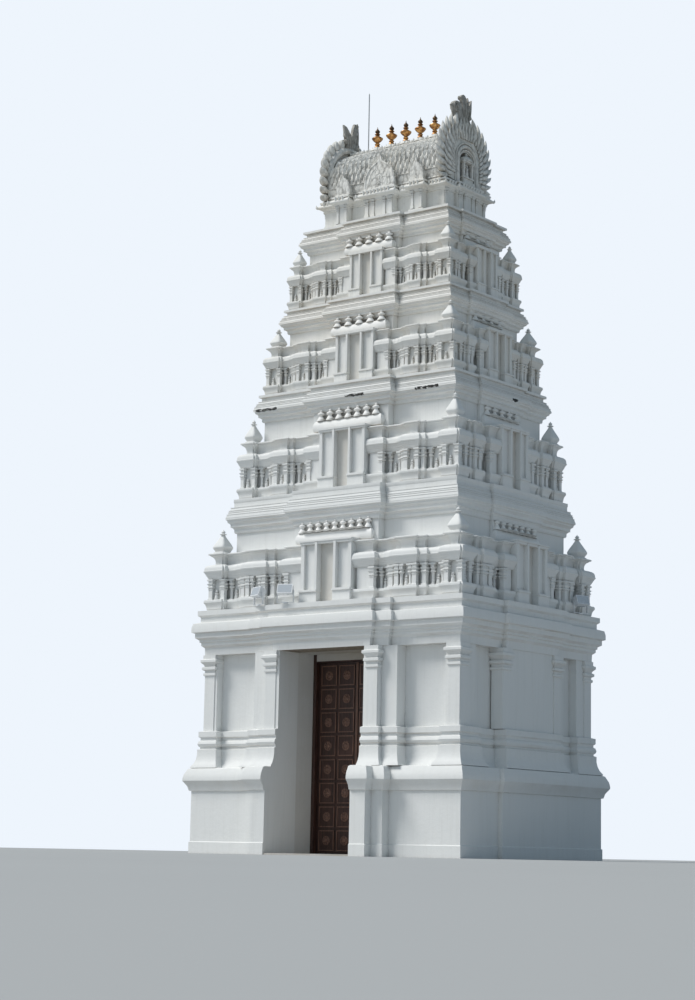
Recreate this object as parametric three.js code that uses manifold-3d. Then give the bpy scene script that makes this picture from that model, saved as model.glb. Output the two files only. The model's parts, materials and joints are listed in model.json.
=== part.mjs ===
// A gateway tower of a Hindu temple (a gopuram), in millimetres, +Z up.
// The origin is on the ground at the middle of the plan, and the doorway with its doors faces -Y.
import * as THREE from "three";
import { mergeVertices } from "three/addons/utils/BufferGeometryUtils.js";
import Module from "manifold-3d";

const wasm = await Module();
wasm.setup();

// Plan of the ground storey
const HALF_LENGTH = 4805; // along X, to the face of the corner piers
const HALF_DEPTH = 3554; // along Y
const RECESS = 270; // the wall between the piers lies this far back
const PIER_INNER_X = 4340;
const PIER_INNER_Y = 2750;
const DOORWAY_HALF = 1600;
const DOORWAY_TOP = 6100;
const WALL_TOP = 7278;
const CHAMBER_HALF_X = 4200; // inner faces of the outer walls
const CHAMBER_HALF_Y = 2950;
const PASSAGE_WALL = 300;
const FLOOR_TOP = 50;
const CEILING_TOP = 6350;
const PLINTH_TOP = 2600;
const PLINTH_STEP = 250; // the plinth stands out past the piers by this
const SIDE_BAY_HALF = 1420; // half width of the bay in the middle of each side wall

// Door
const DOOR_BACK = -1980; // inner face of the leaves and of the frame, along Y
const FRAME_DEPTH = 220;
const FRAME_WIDTH = 120;
const HEAD_BOTTOM = 5850;
const LEAF_THICKNESS = 80;
const LEAF_SIDE_GAP = 9;
const LEAF_END_GAP = 8; // at the floor and at the head
const LEAF_MEETING_GAP = 10;
const PIVOT_INSET = 8; // the leaf turns on pins this far inside its back outer corner
const PIVOT_RADIUS = 8;
const SEAT_GAP = 0.3;
const PANEL_ROWS = 8;
const PANEL_COLUMNS = 2;
const PANEL_RELIEF = 14;

// The four tiers. floor, drip and top are the heights of the floor, the cornice drip and the slab top.
// x and y are half sizes of the walls. The middle bay, of half width bay or sideBay, stands out by its step.
// kuta is half the corner pavilion, whose middle is at kutaX and kutaY. The pavilions between corner and
// middle are given by their place along the wall and half width; at the front they have a narrower core.
// flank is half of the wider pavilion in the middle of the front. niche and sideNiche are the planes of the
// niche piers, and the canopies above them are given by half width and plane. spread scales sizes in plan,
// rise those in height.
const TIERS = [
  {
    floor: 7480, drip: 10404, top: 11063, x: 4202, y: 2962, slab: 93, spread: 1.0, rise: 1.0,
    bay: 1600, step: 290, sideBay: 1200, sideStep: 110, flank: 1560,
    kutaX: 4508, kutaY: 3268, kuta: 320, pavilion: [2860, 720, 380], sidePavilion: [2240, 400],
    niche: 3660, sideNiche: 4900, canopy: [1440, 3410], sideCanopy: [1150, 4430],
  },
  {
    floor: 11063, drip: 13937, top: 14467, x: 3666, y: 2380, slab: 154, spread: 0.87, rise: 1.0,
    bay: 1450, step: 270, sideBay: 1120, sideStep: 110, flank: 1370,
    kutaX: 3910, kutaY: 2625, kuta: 290, pavilion: [2530, 450, 250], sidePavilion: [1850, 310],
    niche: 3050, sideNiche: 4260, canopy: [1310, 2850], sideCanopy: [1060, 3890],
  },
  {
    floor: 14467, drip: 16816, top: 17290, x: 3105, y: 1892, slab: 160, spread: 0.76, rise: 0.85,
    bay: 1180, step: 230, sideBay: 900, sideStep: 100, flank: 1130,
    kutaX: 3365, kutaY: 2152, kuta: 280, pavilion: [2170, 500, 240], sidePavilion: [1480, 250],
    niche: 2520, sideNiche: 3740, canopy: [1060, 2370], sideCanopy: [860, 3310],
  },
  {
    floor: 17290, drip: 19453, top: 19922, x: 2692, y: 1478, slab: 172, spread: 0.66, rise: 0.79,
    bay: 1000, step: 200, sideBay: 770, sideStep: 90, flank: 1000,
    kutaX: 2925, kutaY: 1711, kuta: 230, pavilion: [1900, 420, 190], sidePavilion: [1200, 190],
    niche: 2020, sideNiche: 3235, canopy: [930, 1930], sideCanopy: [740, 2890],
  },
];
const TIER_WALL = 300;

// Roof
const NECK_X = 2358;
const NECK_Y = 1137;
const NECK_WALL = 200;
const EAVE_BOTTOM = 20690;
const EAVE_TOP = 21000;
const VAULT_RADIUS = 1250;
const VAULT_CENTRE = 21450;
const VAULT_SHELL = 150;
const VAULT_HALF = 2200;
const GABLE_DEPTH = 320;
const RIDGE_TOP = 22850;
const KALASAM_STEP = 577;
const KALASAM_HEIGHT = 790;
const ROD_X = -1520;
const ROD_TOP = 24880;
const ROD_RADIUS = 18;

const PLASTER = { color: 0xe9e7e1, roughness: 0.75, metalness: 0 };
const WOOD = { color: 0x4a2018, roughness: 0.5, metalness: 0 };
const GILT = { color: 0xb57a2a, roughness: 0.35, metalness: 1 };
const METAL = { color: 0xbfc4c8, roughness: 0.4, metalness: 0.6 };

// Solids
function solid(geometry) {
  const bare = geometry.index ? geometry.toNonIndexed() : geometry.clone();
  bare.deleteAttribute("normal");
  bare.deleteAttribute("uv");
  const merged = mergeVertices(bare, 1e-3);
  return new wasm.Manifold(
    new wasm.Mesh({
      numProp: 3,
      vertProperties: new Float32Array(merged.attributes.position.array),
      triVerts: new Uint32Array(merged.index.array),
    }),
  );
}

function joined(solids) {
  return solids.reduce((a, b) => a.add(b));
}

// A box given by its lowest and highest corners.
function box(low, high) {
  const size = high.map((value, i) => value - low[i]);
  const geometry = new THREE.BoxGeometry(...size);
  geometry.translate(...low.map((value, i) => value + size[i] / 2));
  return solid(geometry);
}

// A box that is centred on a point of the plan.
function post(cx, cy, halfX, halfY, z0, z1) {
  return box([cx - halfX, cy - halfY, z0], [cx + halfX, cy + halfY, z1]);
}

// A moulded block: a four-sided lathe turns the profile of [offset, z] points into a square post,
// whose corners are then moved to the plan's rectangle, so that every moulding has a mitred corner.
function block(profile, halfX, halfY, cx = 0, cy = 0) {
  const core = 10000;
  const points = profile.map(([offset, z]) => new THREE.Vector2((core + offset) * Math.SQRT2, z));
  points.unshift(new THREE.Vector2(0, profile[0][1]));
  points.push(new THREE.Vector2(0, profile[profile.length - 1][1]));
  const geometry = new THREE.LatheGeometry(points, 4, Math.PI / 4);
  geometry.rotateX(Math.PI / 2);
  const position = geometry.attributes.position;
  for (let i = 0; i < position.count; i++) {
    const x = position.getX(i);
    const y = position.getY(i);
    const onAxis = Math.hypot(x, y) < 1;
    const moveX = onAxis ? 0 : Math.sign(x) * (halfX - core);
    const moveY = onAxis ? 0 : Math.sign(y) * (halfY - core);
    position.setXY(i, Math.round((x + moveX) * 100) / 100 + cx, Math.round((y + moveY) * 100) / 100 + cy);
  }
  return solid(geometry);
}

// The same mouldings round a stepped plan, given as rectangles {x, y, cx, cy}.
function course(profile, plan) {
  return joined(plan.map((r) => block(profile, r.x, r.y, r.cx || 0, r.cy || 0)));
}

// A round piece from a profile of [radius, z] points that starts and ends on the axis.
function turned(profile, segments, cx = 0, cy = 0) {
  const points = profile.map(([radius, z]) => new THREE.Vector2(radius, z));
  const geometry = new THREE.LatheGeometry(points, segments);
  geometry.rotateX(Math.PI / 2);
  geometry.translate(cx, cy, 0);
  return solid(geometry);
}

// A flat outline of (y, z) points extruded along X.
function extrudedAlongX(shape, x0, x1) {
  const geometry = new THREE.ExtrudeGeometry(shape, { depth: x1 - x0, bevelEnabled: false, curveSegments: 12 });
  geometry.rotateX(Math.PI / 2);
  geometry.rotateZ(Math.PI / 2);
  geometry.translate(x0, 0, 0);
  return solid(geometry);
}

function extrudedAlongY(shape, y0, y1) {
  const geometry = new THREE.ExtrudeGeometry(shape, { depth: y1 - y0, bevelEnabled: false, curveSegments: 4 });
  geometry.rotateX(Math.PI / 2);
  geometry.translate(0, y1, 0);
  return solid(geometry);
}

const tower = new THREE.Group();

function add(name, shape, finish) {
  const mesh = shape.asOriginal().simplify(0.02).getMesh();
  const geometry = new THREE.BufferGeometry();
  geometry.setAttribute("position", new THREE.BufferAttribute(new Float32Array(mesh.vertProperties), 3));
  geometry.setIndex(new THREE.BufferAttribute(new Uint32Array(mesh.triVerts), 1));
  geometry.computeVertexNormals();
  const piece = new THREE.Mesh(geometry, new THREE.MeshStandardMaterial(finish));
  piece.name = name;
  tower.add(piece);
}

function fourCorners(x, y) {
  return [
    [-x, -y],
    [x, -y],
    [-x, y],
    [x, y],
  ];
}

// Ground storey
const PLINTH_PROFILE = [
  [30, 0], [30, 340], [0, 360], [0, 1890], [55, 1900], [95, 2040], [205, 2200], [205, 2260],
  [180, 2390], [90, 2570], [0, PLINTH_TOP],
];
const WALL_PROFILE = [
  [300, PLINTH_TOP], [290, 2640], [225, 2730], [175, 2860], [150, 3010], [150, 3170], [85, 3190], [85, 3240],
  [125, 3270], [150, 3340], [125, 3420], [80, 3450], [80, 3520], [130, 3560], [130, 3720], [0, 3750],
  [0, DOORWAY_TOP],
];
const CORNICE_PROFILE = [
  [40, DOORWAY_TOP], [47, 6322], [130, 6397], [130, 6480], [170, 6500], [170, 6561], [272, 6628], [272, 6770],
  [356, 6800], [356, 6945], [324, 7078], [155, 7124], [155, WALL_TOP],
];
const DECK_PROFILE = [
  [155, WALL_TOP], [227, 7334], [227, TIERS[0].floor],
];
const PILASTER_PROFILE = [
  [0, 3740], [0, 5440], [40, 5470], [40, 5530], [5, 5550], [5, 5610], [75, 5650], [75, 5720], [15, 5750],
  [30, 5800], [110, 5880], [110, 5950], [50, 5980], [50, DOORWAY_TOP],
];
const PILASTER_HALF = 200;
const PILASTER_RELIEF = 25;

function groundStorey() {
  const plinth = course(PLINTH_PROFILE, [
    { x: HALF_LENGTH + PLINTH_STEP, y: HALF_DEPTH + PLINTH_STEP },
    { x: 2550, y: 4120 },
    { x: 2150, y: 4420 },
    { x: 5205, y: 1900 },
  ]);
  const pierX = (HALF_LENGTH - PIER_INNER_X) / 2;
  const pierY = (HALF_DEPTH - PIER_INNER_Y) / 2;
  const piers = fourCorners(HALF_LENGTH - pierX, HALF_DEPTH - pierY).map(([cx, cy]) => ({
    x: pierX,
    y: pierY,
    cx,
    cy,
  }));
  const walls = course(WALL_PROFILE, [
    { x: HALF_LENGTH - RECESS, y: HALF_DEPTH - RECESS },
    { x: 2700, y: 3700 },
    { x: 2140, y: 3860 },
    { x: 4955, y: SIDE_BAY_HALF },
    ...piers,
  ]);
  const cornice = course(CORNICE_PROFILE, [
    { x: HALF_LENGTH, y: HALF_DEPTH },
    { x: 2360, y: 3700 },
    { x: 1800, y: 3860 },
    { x: 4955, y: 1400 },
  ]);
  const places = [
    [HALF_LENGTH - PILASTER_HALF + PILASTER_RELIEF, HALF_DEPTH - PILASTER_HALF + PILASTER_RELIEF],
    [4955 - PILASTER_HALF + PILASTER_RELIEF, SIDE_BAY_HALF - PILASTER_HALF + 180],
    [DOORWAY_HALF + PILASTER_HALF + 120, 3860 - PILASTER_HALF + PILASTER_RELIEF],
  ];
  const pilasters = places.flatMap(([x, y]) =>
    fourCorners(x, y).map(([cx, cy]) => block(PILASTER_PROFILE, PILASTER_HALF, PILASTER_HALF, cx, cy)),
  );
  return joined([plinth, walls, cornice, ...pilasters]);
}

const storey = groundStorey();
const FAR = 6000; // beyond the outline of the plan

function storeyPiece(name, low, high) {
  add(name, storey.intersect(box(low, high)), PLASTER);
}

storeyPiece("front_left_wall", [-FAR, -FAR, 0], [-DOORWAY_HALF, -CHAMBER_HALF_Y, WALL_TOP]);
storeyPiece("front_right_wall", [DOORWAY_HALF, -FAR, 0], [FAR, -CHAMBER_HALF_Y, WALL_TOP]);
storeyPiece("back_left_wall", [-FAR, CHAMBER_HALF_Y, 0], [-DOORWAY_HALF, FAR, WALL_TOP]);
storeyPiece("back_right_wall", [DOORWAY_HALF, CHAMBER_HALF_Y, 0], [FAR, FAR, WALL_TOP]);
storeyPiece("front_lintel", [-DOORWAY_HALF, -FAR, DOORWAY_TOP], [DOORWAY_HALF, -CHAMBER_HALF_Y, WALL_TOP]);
storeyPiece("back_lintel", [-DOORWAY_HALF, CHAMBER_HALF_Y, DOORWAY_TOP], [DOORWAY_HALF, FAR, WALL_TOP]);
storeyPiece("left_wall", [-FAR, -CHAMBER_HALF_Y, 0], [-CHAMBER_HALF_X, CHAMBER_HALF_Y, WALL_TOP]);
storeyPiece("right_wall", [CHAMBER_HALF_X, -CHAMBER_HALF_Y, 0], [FAR, CHAMBER_HALF_Y, WALL_TOP]);

const PASSAGE_OUTER = DOORWAY_HALF + PASSAGE_WALL;
add(
  "left_passage_wall",
  box([-PASSAGE_OUTER, -CHAMBER_HALF_Y, 0], [-DOORWAY_HALF, CHAMBER_HALF_Y, WALL_TOP]),
  PLASTER,
);
add(
  "right_passage_wall",
  box([DOORWAY_HALF, -CHAMBER_HALF_Y, 0], [PASSAGE_OUTER, CHAMBER_HALF_Y, WALL_TOP]),
  PLASTER,
);
add("passage_floor", box([-DOORWAY_HALF, -4420, 0], [DOORWAY_HALF, 4420, FLOOR_TOP]), PLASTER);
add(
  "passage_ceiling",
  box([-DOORWAY_HALF, -CHAMBER_HALF_Y, DOORWAY_TOP], [DOORWAY_HALF, CHAMBER_HALF_Y, CEILING_TOP]),
  PLASTER,
);
add(
  "ground_deck",
  course(DECK_PROFILE, [
    { x: HALF_LENGTH, y: HALF_DEPTH },
    { x: 2360, y: 3700 },
    { x: 1800, y: 3860 },
    { x: 4955, y: 1400 },
  ]),
  PLASTER,
);

// Door frame and leaves
const FRAME_INNER = DOORWAY_HALF - FRAME_WIDTH;
const FRAME_FRONT = DOOR_BACK - FRAME_DEPTH;
add(
  "left_jamb",
  box([-DOORWAY_HALF, FRAME_FRONT, FLOOR_TOP], [-FRAME_INNER, DOOR_BACK, DOORWAY_TOP]),
  WOOD,
);
add(
  "right_jamb",
  box([FRAME_INNER, FRAME_FRONT, FLOOR_TOP], [DOORWAY_HALF, DOOR_BACK, DOORWAY_TOP]),
  WOOD,
);
add("door_head", box([-FRAME_INNER, FRAME_FRONT, HEAD_BOTTOM], [FRAME_INNER, DOOR_BACK, DOORWAY_TOP]), WOOD);

function doorLeaf(side) {
  const outer = FRAME_INNER - LEAF_SIDE_GAP;
  const inner = LEAF_MEETING_GAP / 2;
  const low = FLOOR_TOP + LEAF_END_GAP;
  const high = HEAD_BOTTOM - LEAF_END_GAP;
  const front = DOOR_BACK - LEAF_THICKNESS;
  const at = (x0, x1, y0, y1, z0, z1) =>
    box([Math.min(side * x0, side * x1), y0, z0], [Math.max(side * x0, side * x1), y1, z1]);
  const pieces = [at(inner, outer, front + PANEL_RELIEF, DOOR_BACK - PANEL_RELIEF, low, high)];
  const margin = 90;
  const width = (outer - inner - margin) / PANEL_COLUMNS;
  const height = (high - low - margin) / PANEL_ROWS;
  for (let row = 0; row < PANEL_ROWS; row++)
    for (let column = 0; column < PANEL_COLUMNS; column++) {
      const x0 = inner + margin + column * width;
      const z0 = low + margin + row * height;
      pieces.push(at(x0, x0 + width - margin, front, DOOR_BACK, z0, z0 + height - margin));
    }
  pieces.push(at(outer - 2.5 * PIVOT_INSET, outer, front, DOOR_BACK, low, high));
  const pin = [
    [0, FLOOR_TOP + SEAT_GAP], [PIVOT_RADIUS, FLOOR_TOP + SEAT_GAP],
    [PIVOT_RADIUS, HEAD_BOTTOM - SEAT_GAP], [0, HEAD_BOTTOM - SEAT_GAP],
  ];
  pieces.push(turned(pin, 8, side * (outer - PIVOT_INSET), DOOR_BACK - PIVOT_INSET));
  return joined(pieces);
}
add("left_door", doorLeaf(-1), WOOD);
add("right_door", doorLeaf(1), WOOD);

// Tiers: walls with a sloped, lined cornice and a slab on top
function tierPlan(t) {
  return [
    { x: t.x, y: t.y },
    { x: t.bay, y: t.y + t.step },
    { x: t.x + t.sideStep, y: t.sideBay },
  ];
}

function tierWalls(t) {
  const k = (t.top - t.drip) / 659;
  const d = t.drip;
  const drip = 270;
  const profile = [
    [0, t.floor], [0, d - 410 * k], [45, d - 400 * k], [45, d - 290 * k], [240, d - 20 * k],
    [drip, d], [drip, d + 40 * k], [238, d + 160 * k], [224, d + 165 * k],
    [192, d + 280 * k], [178, d + 285 * k], [150, d + 377 * k], [80, d + 390 * k], [80, d + 540 * k],
  ];
  const shell = course(profile, tierPlan(t));
  const inside = post(0, 0, t.x - TIER_WALL, t.y - TIER_WALL, t.floor - 10, t.top);
  return shell.subtract(inside);
}

function tierDeck(t) {
  const k = (t.top - t.drip) / 659;
  const underside = t.drip + 540 * k;
  const profile = [
    [80, underside], [t.slab, underside + 25 * k], [t.slab, t.top],
  ];
  return course(profile, tierPlan(t));
}

// The parapet is a row of miniature pavilions: base, column zone, rolled eave, neck and ledge.
const COLUMN_RECESS = 100;
function parapetProfile(t) {
  const z = (height) => t.floor + height * t.rise;
  const recess = -COLUMN_RECESS * t.spread;
  return [
    [20, z(0)], [100, z(265)], [100, z(335)], [recess, z(345)], [recess, z(1085)], [0, z(1110)],
    [90, z(1290)], [75, z(1410)], [-70, z(1505)], [-70, z(1700)], [-20, z(1790)],
  ];
}

// The plan of the parapet: square corner pavilions, two more pavilions on each side, and a wide bay in
// the middle, all joined by a low wall that lies further back.
function parapetPlan(t) {
  const s = t.spread;
  const faceX = t.kutaX + t.kuta;
  const faceY = t.kutaY + t.kuta;
  const wallBack = 200 * s;
  const pavilionBack = 95 * s;
  const plan = [{ x: faceX - wallBack, y: faceY - wallBack }];
  for (const [cx, cy] of fourCorners(t.kutaX, t.kutaY)) plan.push({ x: t.kuta, y: t.kuta, cx, cy });
  const [place, half, core] = t.pavilion;
  const [sidePlace, sideHalf] = t.sidePavilion;
  for (const side of [-1, 1]) {
    plan.push({ x: half, y: faceY - pavilionBack, cx: side * place });
    plan.push({ x: core, y: faceY + 10, cx: side * place });
    plan.push({ x: faceX - pavilionBack, y: sideHalf, cy: side * sidePlace });
  }
  plan.push({ x: t.flank, y: faceY });
  plan.push({ x: faceX, y: t.sideBay + 150 * s });
  return plan;
}

function kutaDome(t, cx, cy) {
  const z = (height) => t.floor + height * t.rise;
  const s = t.kuta / 320;
  const profile = [
    [260, 1790], [300, 1870], [175, 1880], [165, 1940], [215, 2040], [205, 2140], [150, 2240], [60, 2360],
    [90, 2400], [60, 2480], [40, 2590],
  ];
  return block(
    profile.map(([offset, height]) => [offset * s - 40, z(height)]),
    40,
    40,
    cx,
    cy,
  );
}

// A niche shrine: two flat piers on pedestals, a lintel over them, and behind it a wider rounded canopy.
// It is made in front of the wall at y = -face, and turned for the other three sides.
function shrine(t, face, back, pierOuter, [canopyHalf, canopyFace]) {
  const s = t.spread;
  const z = (height) => t.floor + height * t.rise;
  const middle = -(face + back) / 2;
  const depth = (face - back) / 2;
  const foot = z(1850);
  const rise = 330 * t.rise;
  const lip = 60 * s;
  const roll = new THREE.Shape();
  roll.moveTo(canopyFace - back, foot);
  roll.lineTo(lip, foot);
  roll.lineTo(lip, foot + rise * 0.2);
  roll.lineTo(0, foot + rise * 0.26);
  roll.quadraticCurveTo(-lip * 0.4, foot + rise * 0.95, lip * 2, foot + rise);
  roll.lineTo(canopyFace - back, foot + rise);
  const canopy = extrudedAlongX(roll, -canopyHalf, canopyHalf).translate([0, -canopyFace, 0]);
  const beam = new THREE.Shape();
  beam.moveTo(face - back, foot);
  beam.lineTo(-20, foot);
  beam.lineTo(-20, foot + rise * 0.22);
  beam.lineTo(face - canopyFace + lip, foot + rise * 0.3);
  beam.lineTo(face - back, foot + rise * 0.3);
  const beamHalf = pierOuter + 40 * s;
  const lintel = extrudedAlongX(beam, -beamHalf, beamHalf).translate([0, -face, 0]);
  return joined([
    post(0, middle, pierOuter - 20, depth, z(0), foot + 1),
    post(0, middle - 15, pierOuter, depth + 15, z(0), z(420)),
    canopy,
    lintel,
  ]);
}

function parapet(t) {
  const s = t.spread;
  const pieces = [course(parapetProfile(t), parapetPlan(t))];
  for (const [cx, cy] of fourCorners(t.kutaX, t.kutaY)) pieces.push(kutaDome(t, cx, cy));
  const front = shrine(t, t.niche, t.y - 10, 970 * s, t.canopy);
  const side = shrine(t, t.sideNiche, t.x - 10, 800 * s, t.sideCanopy);
  pieces.push(front, front.rotate([0, 0, 180]), side.rotate([0, 0, 90]), side.rotate([0, 0, -90]));
  const ring = joined(pieces);
  const notches = [];
  for (const side of [-1, 1]) {
    const y = side * t.niche;
    notches.push(post(0, y, 330 * s, 260, t.floor + 60, t.floor + 1750 * t.rise));
    const x = side * t.sideNiche;
    notches.push(post(x, 0, 260, 260 * s, t.floor + 60, t.floor + 1750 * t.rise));
  }
  const core = tierPlan(t).map((r) => post(0, 0, r.x, r.y, t.floor - 10, t.top));
  return ring.subtract(joined([...notches, ...core]));
}

TIERS.forEach((t, i) => {
  const label = "tier_" + (i + 1);
  add(label + "_walls", tierWalls(t), PLASTER);
  add(label + "_deck", tierDeck(t), PLASTER);
  add(label + "_parapet", parapet(t), PLASTER);
});

// Roof: neck, eave, vault with small dormers, ridge
const ROOF_FLOOR = TIERS[3].top;
const neckProfile = [
  [60, ROOF_FLOOR], [60, ROOF_FLOOR + 120], [0, ROOF_FLOOR + 140], [0, EAVE_BOTTOM - 100], [40, EAVE_BOTTOM],
];
const roofBays = (x, y) => [
  { x, y },
  { x: 560, y: y + 250 },
  { x: 210, y: y + 250, cx: 1480 },
  { x: 210, y: y + 250, cx: -1480 },
  { x: x + 120, y: 560 },
];
const neck = course(neckProfile, roofBays(NECK_X, NECK_Y));
const neckInside = post(0, 0, NECK_X - NECK_WALL, NECK_Y - NECK_WALL, ROOF_FLOOR - 10, EAVE_TOP);
add("roof_neck", neck.subtract(neckInside), PLASTER);

const eaveProfile = [
  [40, EAVE_BOTTOM], [190, EAVE_BOTTOM + 60], [200, EAVE_BOTTOM + 120], [170, EAVE_BOTTOM + 210],
  [90, EAVE_BOTTOM + 280], [60, EAVE_TOP],
];
add("roof_eave", course(eaveProfile, roofBays(NECK_X, NECK_Y)), PLASTER);

function arch(radius, foot, centre) {
  const shape = new THREE.Shape();
  const start = Math.asin((foot - centre) / radius);
  shape.absarc(0, centre, radius, start, Math.PI - start, false);
  shape.closePath();
  return shape;
}
const vaultOuter = extrudedAlongX(arch(VAULT_RADIUS, EAVE_TOP, VAULT_CENTRE), -VAULT_HALF, VAULT_HALF);
const vaultInner = extrudedAlongX(
  arch(VAULT_RADIUS - VAULT_SHELL, EAVE_TOP - 5, VAULT_CENTRE),
  -VAULT_HALF - 10,
  VAULT_HALF + 10,
);

function dormer(cx, half, height, front) {
  const shape = new THREE.Shape();
  shape.moveTo(cx - half, EAVE_TOP);
  shape.lineTo(cx + half, EAVE_TOP);
  shape.lineTo(cx + half * 0.95, EAVE_TOP + height * 0.3);
  shape.quadraticCurveTo(cx + half * 0.75, EAVE_TOP + height * 0.66, cx + half * 0.16, EAVE_TOP + height * 0.76);
  shape.lineTo(cx, EAVE_TOP + height);
  shape.lineTo(cx - half * 0.16, EAVE_TOP + height * 0.76);
  shape.quadraticCurveTo(cx - half * 0.75, EAVE_TOP + height * 0.66, cx - half * 0.95, EAVE_TOP + height * 0.3);
  return extrudedAlongY(shape, -front, front);
}
const dormers = joined([
  dormer(0, 560, 1165, 1400),
  dormer(1450, 250, 760, 1420),
  dormer(-1450, 250, 760, 1420),
]);
add("vault", vaultOuter.add(dormers).subtract(vaultInner), PLASTER);

add(
  "ridge",
  box([-VAULT_HALF, -170, VAULT_CENTRE + VAULT_RADIUS - 20], [VAULT_HALF, 170, RIDGE_TOP]).subtract(
    extrudedAlongX(arch(VAULT_RADIUS + 0.3, EAVE_TOP, VAULT_CENTRE), -VAULT_HALF - 10, VAULT_HALF + 10),
  ),
  PLASTER,
);

// Gables: a horseshoe with a fringe of flame-like fins and a horned crest
const GABLE_FINS = 9;
const GABLE_CENTRE = 21900;
const FIN_TIP = [1500, 1450]; // half width and height of the curve through the fins' tips
const FIN_FOOT = [1290, 1240];
const FIN_FIRST = -0.62; // direction of the lowest and the highest fin, in radians above level
const FIN_LAST = 1.16;
const GABLE_TOP = 23150;
const HORN = [
  [300, 0], [150, 110], [230, 370], [420, 670], [400, 900], [190, 760], [110, 550],
]; // outline of the taller horn: distance from the middle and height above the gable
const SHORT_HORN = 0.62; // height of the horn towards the front, as a share of the other
const CREST_BACK = 250; // the crest starts this far in from the gable, over the end of the vault
const CREST_DEPTH = 380;

function gableShape() {
  const right = [[1020, 20800], [1150, 20950]];
  for (let i = 0; i <= GABLE_FINS; i++) {
    const angle = FIN_FIRST + (i / GABLE_FINS) * (FIN_LAST - FIN_FIRST);
    const foot = angle - 0.04;
    const tip = angle + 0.1;
    right.push([Math.cos(foot) * FIN_FOOT[0], GABLE_CENTRE + Math.sin(foot) * FIN_FOOT[1]]);
    right.push([Math.cos(tip) * FIN_TIP[0], GABLE_CENTRE + Math.sin(tip) * FIN_TIP[1]]);
  }
  right.push([HORN[0][0], GABLE_TOP]);
  const left = right.map(([y, z]) => [-y, z]).reverse();
  return new THREE.Shape([...right, ...left].map(([y, z]) => new THREE.Vector2(y, z)));
}

// Two horns on one foot. tallSide is 1 where the taller one points to +Y.
function crestShape(tallSide) {
  const foot = GABLE_TOP - 60;
  const tall = HORN.map(([y, height]) => [tallSide * y, GABLE_TOP + height]);
  const short = HORN.map(([y, height]) => [-tallSide * y, GABLE_TOP + height * SHORT_HORN]).reverse();
  const outline = [[tallSide * HORN[0][0], foot], ...tall, ...short, [-tallSide * HORN[0][0], foot]];
  return new THREE.Shape(outline.map(([y, z]) => new THREE.Vector2(y, z)));
}

function gable(side) {
  const x0 = VAULT_HALF;
  const crest = extrudedAlongX(crestShape(side), x0 - CREST_BACK, x0 - CREST_BACK + CREST_DEPTH);
  const plate = extrudedAlongX(gableShape(), x0, x0 + GABLE_DEPTH).add(crest);
  const nicheShape = new THREE.Shape();
  nicheShape.moveTo(-330, 21050);
  nicheShape.lineTo(330, 21050);
  nicheShape.lineTo(330, 21800);
  nicheShape.absarc(0, 21800, 330, 0, Math.PI, false);
  const niche = extrudedAlongX(nicheShape, x0 + GABLE_DEPTH - 170, x0 + GABLE_DEPTH + 10);
  const seat = box([x0 - 10, -2000, 20700], [x0 + GABLE_DEPTH + 10, 2000, EAVE_TOP]);
  const whole = plate.subtract(niche).subtract(seat);
  return side > 0 ? whole : whole.rotate([0, 0, 180]);
}
add("right_gable", gable(1), PLASTER);
add("left_gable", gable(-1), PLASTER);

// Finials of gilt copper, and the lightning rod
const KALASAM_PROFILE = [
  [0, 0], [110, 0], [110, 70], [50, 130], [90, 200], [50, 240], [130, 300], [165, 370], [130, 440],
  [60, 480], [95, 530], [60, 580], [0, KALASAM_HEIGHT],
];
for (let i = 0; i < 5; i++)
  add(
    "kalasam_" + (i + 1),
    turned(
      KALASAM_PROFILE.map(([radius, height]) => [radius, RIDGE_TOP + height]),
      10,
      (i - 2) * KALASAM_STEP,
    ),
    GILT,
  );
add(
  "lightning_rod",
  turned(
    [
      [0, RIDGE_TOP], [60, RIDGE_TOP], [60, RIDGE_TOP + 30], [ROD_RADIUS, RIDGE_TOP + 40],
      [ROD_RADIUS, ROD_TOP - 60], [0, ROD_TOP],
    ],
    8,
    ROD_X,
  ),
  METAL,
);

// Floodlights on the ledge of the ground storey
function floodlight(turn, x, y) {
  const head = box([-240, -130, -150], [240, 130, 150]).rotate([-20, 0, 0]).translate([0, 0, 400]);
  const foot = box([-60, -60, 0], [60, 60, 30]);
  const stem = box([-20, -20, 0], [20, 20, 320]);
  return joined([head, foot, stem])
    .rotate([0, 0, turn])
    .translate([x, y, TIERS[0].floor]);
}
add("floodlight_1", floodlight(-20, -2370, -4000), METAL);
add("floodlight_2", floodlight(25, -1230, -4100), METAL);
add("floodlight_3", floodlight(70, 5080, 2550), METAL);

export default tower;
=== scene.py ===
# %% [markdown]
# A white temple gateway tower, dressed for a studio picture.
# The imported frame already holds the masonry as plain solids: plinth, walls, cornices, decks and roof.
# What it lacks is what a plasterer adds by hand: the rows of little columns, the shrine canopies with
# their finials, the scales of the roof, the flame fringe of the gables, and years of weather on it all.
# This lesson adds those, one kind of work to a cell. First the frame is loaded.

# %% Load the frame
import json
import math

import bmesh
import bpy
import numpy as np
from mathutils import Matrix, Vector


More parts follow.
